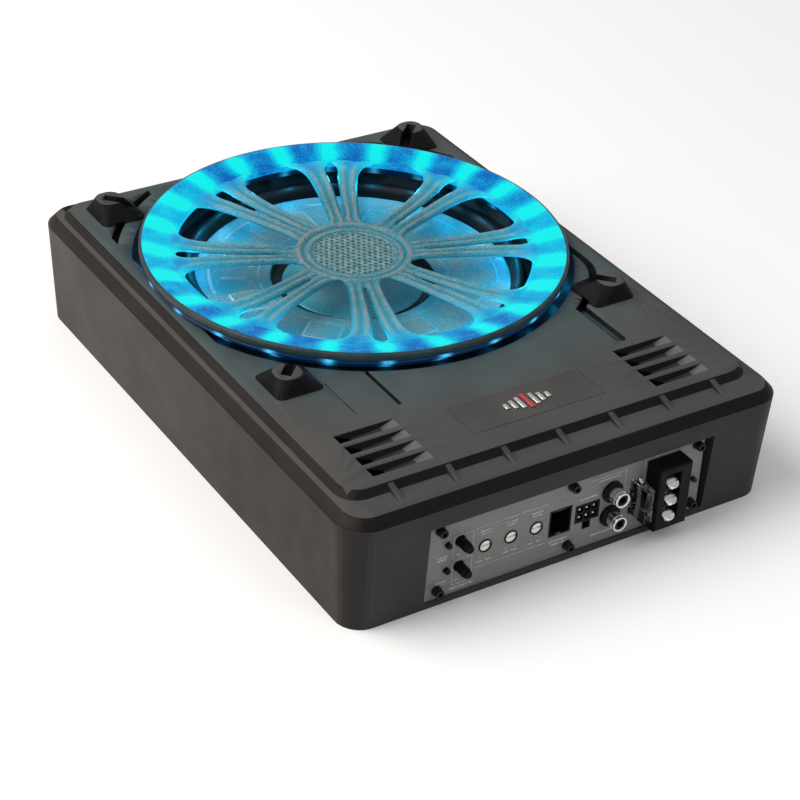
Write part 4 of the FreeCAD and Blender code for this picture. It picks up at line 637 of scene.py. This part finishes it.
def lathe(profile, segments, centre=AXIS, axis=Vector((0, 0, 1)), closed=True,
          finish_of=None):
    """A mesh turned from (radius, height) points in mm about an axis."""
    turn = Vector((0, 0, 1)).rotation_difference(axis).to_matrix()
    rows = len(profile)
    vertices = []
    for step in range(segments):
        angle = 2 * math.pi * step / segments
        for radius, height in profile:
            spot = Vector((radius * math.cos(angle), radius * math.sin(angle), height)) * MM
            vertices.append(turn @ spot + centre)
    faces = []
    owners = []
    for step in range(segments):
        following = (step + 1) % segments
        for row in range(rows if closed else rows - 1):
            above = (row + 1) % rows
            faces.append((step * rows + row, following * rows + row,
                          following * rows + above, step * rows + above))
            owners.append(finish_of(row) if finish_of else 0)
    mesh = bpy.data.meshes.new("lathe")
    mesh.from_pydata(vertices, [], faces)
    mesh.polygons.foreach_set("material_index", owners)
    clean = bmesh.new()
    clean.from_mesh(mesh)
    bmesh.ops.remove_doubles(clean, verts=clean.verts, dist=1e-7)
    bmesh.ops.recalc_face_normals(clean, faces=clean.faces)
    clean.to_mesh(mesh)
    clean.free()
    return mesh


def add_turned(build, *shape):
    """Turn a shape on the lathe and add it to a mesh being built."""
    mesh = lathe(*shape)
    build.from_mesh(mesh)
    bpy.data.meshes.remove(mesh)


def along(points, x):
    """Smooth value at x of a curve through given (x, value) points."""
    if x <= points[0][0]:
        return points[0][1]
    for index in range(len(points) - 1):
        x0, v0 = points[index]
        x1, v1 = points[index + 1]
        if x <= x1:
            before = points[max(index - 1, 0)]
            after = points[min(index + 2, len(points) - 1)]
            slope0 = (v1 - before[1]) / max(x1 - before[0], 1e-6)
            slope1 = (after[1] - v0) / max(after[0] - x0, 1e-6)
            t = (x - x0) / (x1 - x0)
            span = x1 - x0
            return (v0 * (2 * t ** 3 - 3 * t ** 2 + 1) + slope0 * span * (t ** 3 - 2 * t ** 2 + t)
                    + v1 * (3 * t ** 2 - 2 * t ** 3) + slope1 * span * (t ** 3 - t ** 2))
    return points[-1][1]


def thicken(piece, depth):
    """Give a sheet its thickness, downwards."""
    solid = piece.modifiers.new("thickness", "SOLIDIFY")
    solid.thickness = depth
    solid.offset = -1.0


def round_edges(piece, width, angle=30.0, harden=False):
    """Round the edges that turn by more than an angle."""
    bevel = piece.modifiers.new("edges", "BEVEL")
    bevel.width = width
    bevel.segments = 2
    bevel.limit_method = "ANGLE"
    bevel.angle_limit = math.radians(angle)
    bevel.harden_normals = harden


def box_mesh(build, low, high):
    """Add an axis-aligned box to a bmesh."""
    size = Vector(high) - Vector(low)
    middle = (Vector(high) + Vector(low)) / 2
    matrix = Matrix.Translation(middle) @ Matrix.Diagonal((*size, 1))
    return bmesh.ops.create_cube(build, size=1.0, matrix=matrix)["verts"]


def merged_copy(node):
    """A carried node's shape as one welded bmesh."""
    build = bmesh.new()
    build.from_mesh(nodes[node].data)
    bmesh.ops.remove_doubles(build, verts=build.verts, dist=1e-6)
    return build


def rounded_copy(node, width, body, finish):
    """A carried shape with its edges rounded, standing in for its node."""
    build = merged_copy(node)
    bmesh.ops.dissolve_limit(build, angle_limit=math.radians(2), verts=build.verts,
                             edges=build.edges)
    mesh = built(build, node + "_rounded")
    piece = finish_mesh(node + "_rounded", mesh, [look[finish]], body, node)
    round_edges(piece, width, 40.0, True)


def smooth_shell():
    """The shell with normals that keep its large faces flat beside its round corners."""
    mesh = built(merged_copy("top_shell"), "shell_smooth")
    piece = finish_mesh("shell_smooth", mesh, [look["shell"]], "case", "top_shell", sharp=30)
    even = piece.modifiers.new("normals", "WEIGHTED_NORMAL")
    even.mode = "FACE_AREA"
    even.weight = 100
    even.keep_sharp = True


# ---------------------------------------------------------------- light wheel

def wheel_rim():
    """Lathed rim: lit sloping band, dull outer wall, glossy lip below it."""
    outer = 113.2
    profile = [(94.0, 67.9), (94.0, 69.0), (94.5, 69.75), (98.5, 70.75), (99.1, 71.1),
               (103.0, 72.15), (108.8, 73.72), (110.2, 73.95), (111.6, 74.0),
               (112.7, 73.75), (outer, 73.1), (outer, 70.4), (112.9, 69.95),
               (111.7, 69.75), (111.6, 69.45), (112.5, 69.2), (112.9, 68.6),
               (112.7, 67.8), (111.9, 67.35), (104.0, 67.3), (95.0, 67.3)]
    wall_start, lip_start = 8, 13

    def finish_of(row):
        """Lit band, then dull wall, then glossy lip."""
        return int(row >= wall_start) + int(row >= lip_start)

    mesh = lathe(profile, 288, finish_of=finish_of)
    finish_mesh("wheel_rim", mesh, [look["rim"], look["rim_wall"], look["lip"]], "case",
                "wheel_grille", sharp=50)


# Split spokes, in mm: where things start along the radius, and curves over it.
HUB_RADIUS = 22.6
GROOVE_RADIUS = 27.0
RING_RADIUS = 29.6
WINDOW_START = 31.0
SLOT_START = 38.0
LEG_END = 100.0
RIDGES = (0.74, 0.24)  # ridges of a leg, as shares of its width from the slot outwards
WINDOW_HALF = [(31.0, 0.0), (31.4, 1.5), (32.4, 2.7), (35.0, 4.5), (40.0, 6.7), (50.0, 10.0),
               (60.0, 12.9), (70.0, 15.6), (80.0, 17.8), (86.0, 18.4), (90.0, 17.6),
               (93.0, 15.6), (96.0, 9.0), (98.0, 0.0), (100.0, 0.0)]
SLOT_HALF = [(38.0, 0.0), (38.3, 0.40), (39.0, 0.65), (41.0, 0.85), (50.0, 1.1), (60.0, 1.3),
             (70.0, 1.7), (80.0, 2.5), (88.0, 3.6), (92.0, 3.2), (94.0, 2.0), (95.0, 0.0),
             (100.0, 0.0)]
LEG_HEIGHT = [(22.6, 66.3), (31.0, 66.6), (60.0, 67.7), (86.0, 69.2), (94.0, 70.1),
              (100.0, 71.0)]


def leg_height(radius, share, width, slot_open, window_open):
    """Top of a leg: two ridges, a ring and a groove at the hub, rounded free edges."""
    ridge_rise, low_ridge_share, ridge_half, ridge_run = 1.3, 0.8, 0.24, 9.0
    edge_reach, edge_drop = 1.3, 1.0
    z = along(LEG_HEIGHT, radius)
    rise = ridge_rise * clamp((radius - 29.0) / ridge_run) * clamp((LEG_END - radius) / ridge_run)
    high_ridge, low_ridge = (bell((share - ridge) / ridge_half) for ridge in RIDGES)
    z += rise * (high_ridge + low_ridge_share * low_ridge)
    z += 0.75 * bell((radius - RING_RADIUS) / 2.4) - 0.55 * bell((radius - GROOVE_RADIUS) / 0.9)
    z -= 0.9 * max(0.0, (radius - 94.0) / 6.0)
    for is_open, distance in ((slot_open, share * width), (window_open, (1 - share) * width)):
        if is_open and distance < edge_reach:
            z -= edge_drop * (1 - math.sqrt(max(0.0, 1 - (1 - distance / edge_reach) ** 2)))
    return z


def ridge_share(radius, share):
    """1 on the two ridges of a leg and round the hub, 0 in the hollows."""
    leg = sum(bell((share - ridge) / 0.20) for ridge in RIDGES)
    hub = max(bell((radius - RING_RADIUS) / 2.4), bell((radius - 24.8) / 1.8))
    near = clamp((34.0 - radius) / 5.0)
    return min(1.0, leg * (1 - near) + hub)


def spoke_rows():
    """One leg as rows of (radius, angle from the slot's middle, height, ridge share)."""
    radii = [HUB_RADIUS + 0.6 * step for step in range(14)]
    radii += [WINDOW_START + x for x in (0, 0.15, 0.4, 0.8, 1.4, 2.2, 3.2, 4.4, 5.6)]
    radii += [SLOT_START + x for x in (0, 0.12, 0.3, 0.6, 1.0, 1.8, 3.0)]
    radii += [42.5 + 1.6 * step for step in range(36)]
    columns = 14
    rows = []
    for radius in sorted(set(round(r, 3) for r in radii if r <= LEG_END)):
        in_slot = radius > SLOT_START
        in_window = radius > WINDOW_START
        inner = along(SLOT_HALF, radius) if in_slot else 0.0
        outer = math.pi / PAIRS * radius - (along(WINDOW_HALF, radius) if in_window else 0.0)
        row = []
        for column in range(columns + 1):
            share = column / columns
            share = 0.5 - 0.5 * math.cos(math.pi * share) if in_window else share
            reach = inner + (outer - inner) * share
            z = leg_height(radius, share, outer - inner, in_slot, in_window)
            row.append((radius, reach / radius, z, ridge_share(radius, share)))
        rows.append(row)
    return rows


def wheel_spokes():
    """Eight split spokes and the hub ring, as one sheet given a thickness."""
    rows = spoke_rows()
    build = bmesh.new()
    ridges = build.verts.layers.float.new("ridge")
    for pair in range(PAIRS):
        middle = math.pi / PAIRS * (1 + 2 * pair)
        for side in (-1, 1):
            made = []
            for row in rows:
                line = []
                for radius, offset, z, ridge in row:
                    vertex = build.verts.new(on_axis(radius, middle + side * offset, z))
                    vertex[ridges] = ridge
                    line.append(vertex)
                made.append(line)
            for low, high in zip(made, made[1:]):
                for column in range(len(low) - 1):
                    corners = [low[column], high[column], high[column + 1], low[column + 1]]
                    build.faces.new(corners if side > 0 else corners[::-1])
    bmesh.ops.remove_doubles(build, verts=build.verts, dist=WELD)
    bmesh.ops.recalc_face_normals(build, faces=build.faces)
    mesh = built(build, "wheel_spokes", face_up=True)
    piece = finish_mesh("wheel_spokes", mesh, [look["spokes"]], "case", "wheel_grille",
                        sharp=60)
    thicken(piece, 2.1 * MM)


def perforated_hub():
    """Disc with a lattice of round holes inside a plain border."""
    pitch, hole = 3.3, 0.88
    border, radius = 22.3, 22.9
    drop, depth = 0.6, 1.1
    steps = 12
    z = along(LEG_HEIGHT, HUB_RADIUS) - drop
    corner = pitch / math.sqrt(3)
    build = bmesh.new()
    count = int(border / pitch) + 4
    for row in range(-count, count + 1):
        for column in range(-count, count + 1):
            centre = Vector(((column + row / 2) * pitch, row * pitch * math.sqrt(3) / 2, z))
            if centre.xy.length > border - 0.6:
                continue
            hexagon = []
            circle = []
            for step in range(steps):
                angle = math.pi / 6 + 2 * math.pi * step / steps
                reach = corner if step % 2 == 0 else pitch / 2
                way = Vector((math.cos(angle), math.sin(angle), 0))
                hexagon.append(build.verts.new((centre + way * reach) * MM + AXIS))
                circle.append(build.verts.new((centre + way * hole) * MM + AXIS))
            for step in range(steps):
                after = (step + 1) % steps
                build.faces.new((circle[step], hexagon[step], hexagon[after], circle[after]))
    bmesh.ops.remove_doubles(build, verts=build.verts, dist=WELD)
    bmesh.ops.recalc_face_normals(build, faces=build.faces)
    mesh = built(build, "hub_lattice", face_up=True)
    piece = finish_mesh("hub_lattice", mesh, [look["hub"]], "case", "hub_mesh")
    thicken(piece, depth * MM)
    ring = lathe([(border - 0.5, z - depth), (border - 0.5, z + 0.05), (border - 0.2, z + 0.3),
                  (radius, z + 0.4), (radius, z - depth)], 96)
    finish_mesh("hub_border", ring, [look["hub"]], "case", "hub_mesh")


# ---------------------------------------------------------------- driver

def rounded_step(distance, soft):
    """0 outside, 1 inside, smooth over the soft width."""
    t = clamp(0.5 - distance / soft)
    return t * t * (3 - 2 * t)


def rounded_rectangle(x, y, half_x, half_y, radius):
    """Signed distance to a rectangle with round corners."""
    dx = abs(x) - half_x + radius
    dy = abs(y) - half_y + radius
    outside = math.hypot(max(dx, 0.0), max(dy, 0.0))
    return outside + min(max(dx, dy), 0.0) - radius


# Places on the cone face, mm from the axis.
PAD_RADIUS = 61.5
BAR_RADIUS = 64.0
ARC_RADIUS = 77.0
SHELF_RADIUS = 50.5


def cone_relief(radius, angle):
    """Relief of the cone face in mm, and how far a point is on an edge that gets a painted
    highlight.
    """
    sector = 2 * math.pi / PAIRS
    local = (angle + sector / 2) % sector - sector / 2
    between = (angle + sector) % sector - sector / 2
    pad = rounded_rectangle(radius * math.cos(local) - PAD_RADIUS,
                            radius * math.sin(local), 8.6, 9.2, 1.6)
    bar = rounded_rectangle(radius * math.cos(between) - BAR_RADIUS,
                            radius * math.sin(between), 6.0, 0.9, 0.7)
    pad_line = abs(pad) - 0.55
    arc = rounded_step(max(abs(radius - ARC_RADIUS) - 0.7,
                           radius * (abs(between) - 0.2)), 0.8)
    shelf = rounded_step(abs(radius - SHELF_RADIUS) - 0.4, 0.6)
    if abs(local) >= 0.3:
        shelf *= 0.3
    height = (0.55 * rounded_step(pad, 0.9) + 0.35 * rounded_step(pad_line, 0.6)
              + 0.7 * rounded_step(bar, 0.7) - 0.7 * arc)
    edges = (rounded_step(pad_line, 0.5) + rounded_step(abs(bar) - 0.3, 0.5)
             + 0.8 * shelf + 0.9 * arc)
    return height, min(1.0, edges)


def cone_face():
    """Cone: flat working face with pressed relief, a sunken throat and a rolled edge; the
    material paints black shade in the throat.
    """
    low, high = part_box("cone")
    top = high.z / MM + 1.3
    edge = (high.x - low.x) / 2 / MM
    face_start = edge - 1.2
    face_end = THROAT_RADIUS + 0.5
    dish, face_steps, segments = 2.6, 72, 576
    profile = [(edge, top - 1.2), (edge, top - 0.5), (edge - 0.4, top - 0.15),
               (face_start, top - 0.2)]
    for step in range(1, face_steps + 1):
        radius = face_start - (face_start - face_end) * step / face_steps
        share = (edge - radius) / (edge - face_end)
        profile.append((radius, top - 0.2 - dish * share ** 1.1))
    profile += [(43.8, top - 3.3), (43.2, top - 4.2), (42.9, top - 5.4), (42.6, top - 6.2),
                (40.0, top - 6.6), (36.0, top - 6.8), (26.5, top - 8.6)]
    build = bmesh.new()
    # The line layer carries how much painted highlight each point of the relief edges gets.
    bright = build.verts.layers.float.new("line")
    rings = []
    for radius, height in profile:
        ring = []
        for step in range(segments):
            angle = 2 * math.pi * step / segments
            lift = line = 0.0
            if 46 < radius < edge - 1.5:
                lift, line = cone_relief(radius, angle)
            vertex = build.verts.new(on_axis(radius, angle, height + lift))
            vertex[bright] = line
            ring.append(vertex)
        rings.append(ring)
    for outer, inner in zip(rings, rings[1:]):
        for step in range(segments):
            after = (step + 1) % segments
            build.faces.new((outer[step], outer[after], inner[after], inner[step]))
    mesh = built(build, "cone_face", face_up=True)
    piece = finish_mesh("cone_face", mesh, [look["cone"]], "cone_unit", "cone", sharp=50)
    thicken(piece, 0.9 * MM)


def dust_cap():
    """Shallow domed cap with a rolled rim."""
    low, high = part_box("dust_cap")
    top = high.z / MM
    rim = (high.x - low.x) / 2 / MM
    dome, drop, steps = rim - 0.9, 1.3, 15
    profile = [(rim - 2.5, top - 3.1), (rim - 0.6, top - 3.0), (rim, top - 2.4),
               (rim - 0.2, top - 1.7), (dome, top - drop)]
    for step in range(1, steps + 1):
        share = 1 - step / steps
        profile.append((max(dome * share, 0.01), top - drop * share ** 2.2))
    mesh = lathe(profile, 144, closed=False)
    finish_mesh("dust_cap_dome", mesh, [look["cap"]], "cone_unit", "dust_cap", sharp=45)


def surround_profile(inner_half):
    """Half of the roll in mm: upper skin, edge, and lower skin back to the crown."""
    low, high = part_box("surround")
    edge = (high.x - low.x) / 2 / MM
    foot = low.z / MM
    flange = foot + 3.1
    rise = high.z / MM - 0.05 - flange
    middle, roll, thick, steps = edge - 4.6, 3.7, 1.1, 12
    side = -1 if inner_half else 1
    skin = []
    under = []
    for step in range(steps + 1):
        turn = math.pi / 2 * step / steps
        out = side * math.sin(turn)
        up = math.cos(turn)
        skin.append((middle + roll * out, flange + rise * up))
        under.append((middle + (roll - thick) * out, flange + (rise - thick) * up))
    if inner_half:
        lip = edge - 9.6
        tail = [(middle - roll, foot + 0.8), (middle - roll - 0.3, foot + 0.35),
                (lip, foot + 0.35), (lip, foot + 0.05), (middle - roll + thick, foot + 0.05)]
    else:
        tail = [(middle + roll + 0.2, flange + 1.1), (edge, flange + 1.1), (edge, flange),
                (middle + roll - thick, flange)]
    return skin + tail + under[::-1]


def surround():
    """Rubber roll in two halves: the outer half stays with the basket, the inner half is attached
    to no body.
    """
    outer = lathe(surround_profile(False), 256)
    finish_mesh("surround_outer", outer, [look["rubber"]], "case", "surround", sharp=70)
    inner = lathe(surround_profile(True), 256)
    piece = finish_mesh("surround_inner", inner, [look["rubber"]], None, "surround",
                        sharp=70)
    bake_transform(piece)


# ---------------------------------------------------------------- badge

def badge_emblem():
    """Seven raised level bars; the middle one is red."""
    low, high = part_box("badge_emblem")
    centre = (low + high) / 2
    half_bar, shorter = 1.1 * MM, 1.3 * MM
    pitch = (high.x - low.x - 2 * half_bar) / 6
    build = bmesh.new()
    for index in range(-3, 4):
        x = centre.x + index * pitch
        half = (high.y - low.y) / 2 - shorter * abs(index)
        box_mesh(build, (x - half_bar, centre.y - half, low.z),
                 (x + half_bar, centre.y + half, high.z))
    mesh = built(build, "badge_bars")
    piece = finish_mesh("badge_bars", mesh, [look["bright"], look["red"]], "case",
                        "badge_emblem")
    for face in mesh.polygons:
        if abs(face.center.x - centre.x) < 1.5 * MM:
            face.material_index = 1
    round_edges(piece, 0.25 * MM)


# ---------------------------------------------------------------- control panel

class Printing:
    """Strokes of print on the panel face, gathered in one mesh. Offsets are in mm."""

    def __init__(self):
        self.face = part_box("control_panel")[0].y
        self.build = bmesh.new()
        self.marks = random.Random(5)

    def stroke(self, place, left, low, right, high):
        """A filled rectangle, from offsets to a place."""
        thick = 0.06
        box_mesh(self.build,
                 (place.x + min(left, right) * MM, self.face - thick * MM,
                  place.z + min(low, high) * MM),
                 (place.x + max(left, right) * MM, self.face, place.z + max(low, high) * MM))

    def rule(self, place, x0, z0, x1, z1):
        """A thin line between two points."""
        half = 0.14
        self.stroke(place, x0 - half, z0 - half, x1 + half, z1 + half)

    def outline(self, place, x0, z0, x1, z1):
        for ends in ((x0, z0, x1, z0), (x0, z1, x1, z1), (x0, z0, x0, z1), (x1, z0, x1, z1)):
            self.rule(place, *ends)

    def bars(self, place, middle, low, width, height=0.9):
        """A row of short blank bars where a label would be."""
        gap = 0.4
        left, end = middle - width / 2, middle + width / 2
        while left < end:
            length = self.marks.uniform(0.5, 1.3)
            self.stroke(place, left, low, min(left + length, end), low + height)
            left += length + gap


def panel_print():
    """Printed rules, frames, ticks and plain bars beside each control."""
    ink_and_painted_shade = Printing()
    for name in ("push_button_upper", "push_button_lower"):
        button = middle_of(name)
        ink_and_painted_shade.outline(button, -3.5, -10.2, 7.2, 3.4)
        for left in (-1.6, 3.0):
            ink_and_painted_shade.stroke(button, left, -8.2, left + 1.8, -7.4)
        ink_and_painted_shade.bars(button, -9.5, -7.0, 6.0)
        ink_and_painted_shade.bars(button, -9.5, -8.6, 4.8)
    ink_and_painted_shade.bars(Vector((0, 0, 0)), -60.5, 5.6, 13.0, 1.1)
    shafts = ["trimmer_shaft_%d" % number for number in (1, 2, 3)]
    first, last = middle_of(shafts[0]), middle_of(shafts[-1])
    reach = 2.6 + (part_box(shafts[0])[1].x - first.x) / MM
    across = (last.x - first.x) / MM
    for height in (11.7, -11.0):
        ink_and_painted_shade.rule(first, -reach, height, across + reach, height)
    for shaft in shafts:
        trimmer = middle_of(shaft)
        ink_and_painted_shade.bars(trimmer, 0.0, 8.5, 6.6)
        ink_and_painted_shade.bars(trimmer, 0.0, 6.8, 5.0)
        for side in (-2.6, 2.6):
            ink_and_painted_shade.stroke(trimmer, side - 0.25, -6.2, side + 0.25, -5.5)
            ink_and_painted_shade.bars(trimmer, side, -8.7, 3.2)
    socket = middle_of("remote_socket")
    socket.z = 0.0
    ink_and_painted_shade.bars(socket, 0.0, 12.6, 11.0, 1.2)
    ink_and_painted_shade.bars(socket, 0.0, 10.7, 8.5, 1.0)
    header = middle_of("header_housing")
    header.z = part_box("header_housing")[1].z
    ink_and_painted_shade.bars(header, 0.0, 2.4, 10.0)
    jacks = middle_of("jack_barrels")
    low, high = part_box("jack_barrels")
    jacks.z = low.z
    ink_and_painted_shade.bars(jacks, -3.0, -5.2, 14.0, 1.1)
    jacks.z = high.z
    ink_and_painted_shade.rule(jacks, -13.5, 5.9, 7.5, 5.9)
    ink_and_painted_shade.rule(jacks, 7.5, 5.9, 7.5, -5.5)
    ink_and_painted_shade.bars(jacks, -2.0, 3.7, 13.0)
    low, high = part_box("terminal_block")
    corner = Vector((low.x, 0, high.z))
    ink_and_painted_shade.rule(corner, -1.6, 1.2, -1.6, -18.0)
    ink_and_painted_shade.rule(corner, -1.6, 1.2, 4.0, 1.2)
    ink_and_painted_shade.bars(corner, (high.x - low.x) / 2 / MM + 1.0, 1.0, 13.0, 1.2)
    for height in (32.5, 24.0, 15.5):
        ink_and_painted_shade.bars(Vector((high.x, 0, 0)), 5.2, height, 4.6)
    mesh = built(ink_and_painted_shade.build, "panel_print")
    finish_mesh("panel_print", mesh, [look["print"]], "case", None, "panel_metal")


def knurled_screws():
    """Cap screws of the panel: knurled heads, sockets and washers."""
    low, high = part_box("panel_screws")
    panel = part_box("control_panel")[0].y
    washer, head, knurl = 2.7, 2.3, 0.14
    turns = 48
    reach = (panel - low.y) / MM
    places = [(x, z) for x in (low.x + washer * MM, 0.0, high.x - washer * MM)
              for z in (low.z + washer * MM, high.z - washer * MM)]
    outline = [(0.01, reach - 2.0), (1.15, reach - 2.0), (1.25, reach - 0.25),
               (1.45, reach), (head - 0.35, reach), (head, reach - 0.4), (head, 1.0),
               (head - 0.1, 0.8), (washer, 0.75), (washer, 0.0)]
    build = bmesh.new()
    for x, z in places:
        add_turned(build, outline, turns, Vector((x, panel, z)), FORWARD, False)
    for vertex in build.verts:
        for x, z in places:
            away = Vector((vertex.co.x - x, 0, vertex.co.z - z))
            if abs(away.length / MM - head) > 0.05:
                continue
            step = round(math.atan2(away.z, away.x) / (2 * math.pi / turns))
            if step % 2:
                vertex.co -= away.normalized() * knurl * MM
    mesh = built(build, "panel_screw_heads")
    finish_mesh("panel_screw_heads", mesh, [look["screw"]], "case", "panel_screws", sharp=30)


def jack_fittings():
    """Phono jack barrels with a bright rolled front ring."""
    low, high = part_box("jack_barrels")
    radius = (high.x - low.x) / 2 / MM
    length = (high.y - low.y) / MM
    x = (low.x + high.x) / 2
    profile = [(radius - 1.0, 0), (radius - 0.35, 0), (radius - 0.35, length - 6.0),
               (radius - 0.05, length - 5.6), (radius - 0.05, length - 2.3),
               (radius - 0.55, length - 2.1), (radius - 0.55, length - 1.7),
               (radius, length - 1.4), (radius, length - 0.4), (radius - 0.3, length),
               (radius - 0.8, length), (radius - 1.15, length - 0.5),
               (radius - 1.15, length - 2.0)]
    build = bmesh.new()
    for z in (low.z + radius * MM, high.z - radius * MM):
        add_turned(build, profile, 64, Vector((x, high.y, z)), FORWARD)
    mesh = built(build, "jack_fittings")
    finish_mesh("jack_fittings", mesh, [look["nickel"]], "case", "jack_barrels", sharp=30)


def button_cap(name):
    """Push button: ten-sided skirt, waist and hollowed tip."""
    node = "push_button_" + name
    low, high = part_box(node)
    radius = (high.x - low.x) / 2 / MM
    length = (high.y - low.y) / MM
    centre = middle_of(node)
    centre.y = high.y
    profile = [(0.01, 0), (radius, 0), (radius, length - 2.4), (radius - 0.5, length - 2.0),
               (radius - 0.5, length - 0.6), (radius - 0.9, length - 0.1),
               (radius - 1.7, length), (radius - 1.9, length - 0.5), (0.01, length - 0.5)]
    mesh = lathe(profile, 10, centre, FORWARD, False)
    piece = finish_mesh(node + "_cap", mesh, [look["black"]], "button_" + name, node)
    round_edges(piece, 0.25 * MM, 25.0)


# ---------------------------------------------------------------- scene

def add_light(name, kind, place, power, size, target=None, color=(1, 1, 1)):
    """A disc or point light that the camera doesn't see."""
    data = bpy.data.lights.new(name, kind)
    data.energy = power
    data.color = color
    if kind == "AREA":
        data.shape = "DISK"
        data.size = size
    else:
        data.shadow_soft_size = size
    lamp = bpy.data.objects.new(name, data)
    bpy.context.scene.collection.objects.link(lamp)
    lamp.location = place
    if target is not None:
        way = Vector(target) - Vector(place)
        lamp.rotation_euler = way.to_track_quat("-Z", "Y").to_euler()
    lamp.visible_camera = False
    return lamp


def lamp_glow():
    """Light that the circle of lamps throws into the well and over the deck."""
    rings = (("well_glow_%d", 86.5, 66.2, 0.0075, 0.0016, (0.0, 0.55, 1.0)),
             ("deck_glow_%d", 110.0, 65.5, 0.0028, 0.0012, (0.0, 0.45, 1.0)))
    for index in range(LAMP_COUNT):
        angle = 2 * math.pi * (index + 0.5) / LAMP_COUNT
        for name, radius, height, power, size, color in rings:
            glow = add_light(name % index, "POINT", on_axis(radius, angle, height), power,
                             size, color=color)
            glow.data.cycles.max_bounces = 4


def studio():
    """White surroundings, pale floor, a soft key from the left and a weak fill."""
    world = bpy.data.worlds.new("studio")
    bpy.context.scene.world = world
    world.use_nodes = True
    background = world.node_tree.nodes["Background"].inputs
    background["Color"].default_value = (1, 1, 1, 1)
    background["Strength"].default_value = 0.5
    shader = Shader("floor_pale")
    shader.set(Base_Color=shader.shade((0.94, 0.94, 0.94), 0.01, 0.5), Roughness=0.85)
    mesh = bpy.data.meshes.new("floor")
    half = 6.0
    mesh.from_pydata([(-half, -half, 0), (half, -half, 0), (half, half, 0), (-half, half, 0)],
                     [], [(0, 1, 2, 3)])
    mesh.materials.append(shader.material)
    floor = bpy.data.objects.new("floor", mesh)
    bpy.context.scene.collection.objects.link(floor)
    middle = (0, 0, 0.05)
    add_light("key", "AREA", (-1.2, 0.45, 1.45), 38.0, 1.8, middle, (1.0, 0.97, 0.94))
    add_light("fill", "AREA", (0.4, -1.6, 1.0), 3.0, 1.0, middle)
    bpy.context.scene.view_settings.view_transform = "Standard"


def camera():
    """A long lens, above and to the left of the front, rolled a little."""
    azimuth = math.radians(-33.69)
    elevation = math.radians(33.35)
    roll = math.radians(3.323)
    target = Vector((-0.03116, -0.05743, 0.040))
    distance = 1.1202
    back = Vector((math.sin(azimuth) * math.cos(elevation),
                   -math.cos(azimuth) * math.cos(elevation), math.sin(elevation)))
    right = (-back).cross(Vector((0, 0, 1))).normalized()
    up = right.cross(-back)
    right_rolled = right * math.cos(roll) + up * math.sin(roll)
    up_rolled = up * math.cos(roll) - right * math.sin(roll)
    data = bpy.data.cameras.new("camera")
    data.lens = 101.3
    data.sensor_width = 36.0
    data.clip_start = 0.01
    lens = bpy.data.objects.new("camera", data)
    bpy.context.scene.collection.objects.link(lens)
    turn = Matrix((right_rolled, up_rolled, back)).transposed().to_4x4()
    lens.matrix_world = Matrix.Translation(target + back * distance) @ turn
    bpy.context.scene.camera = lens


camera()
studio()
lamp_glow()
smooth_shell()
wheel_rim()
wheel_spokes()
perforated_hub()
cone_face()
dust_cap()
surround()
badge_emblem()
panel_print()
knurled_screws()
jack_fittings()
for which in ("upper", "lower"):
    button_cap(which)
rounded_copy("fuse_body", 0.5 * MM, "fuse", "fuse")
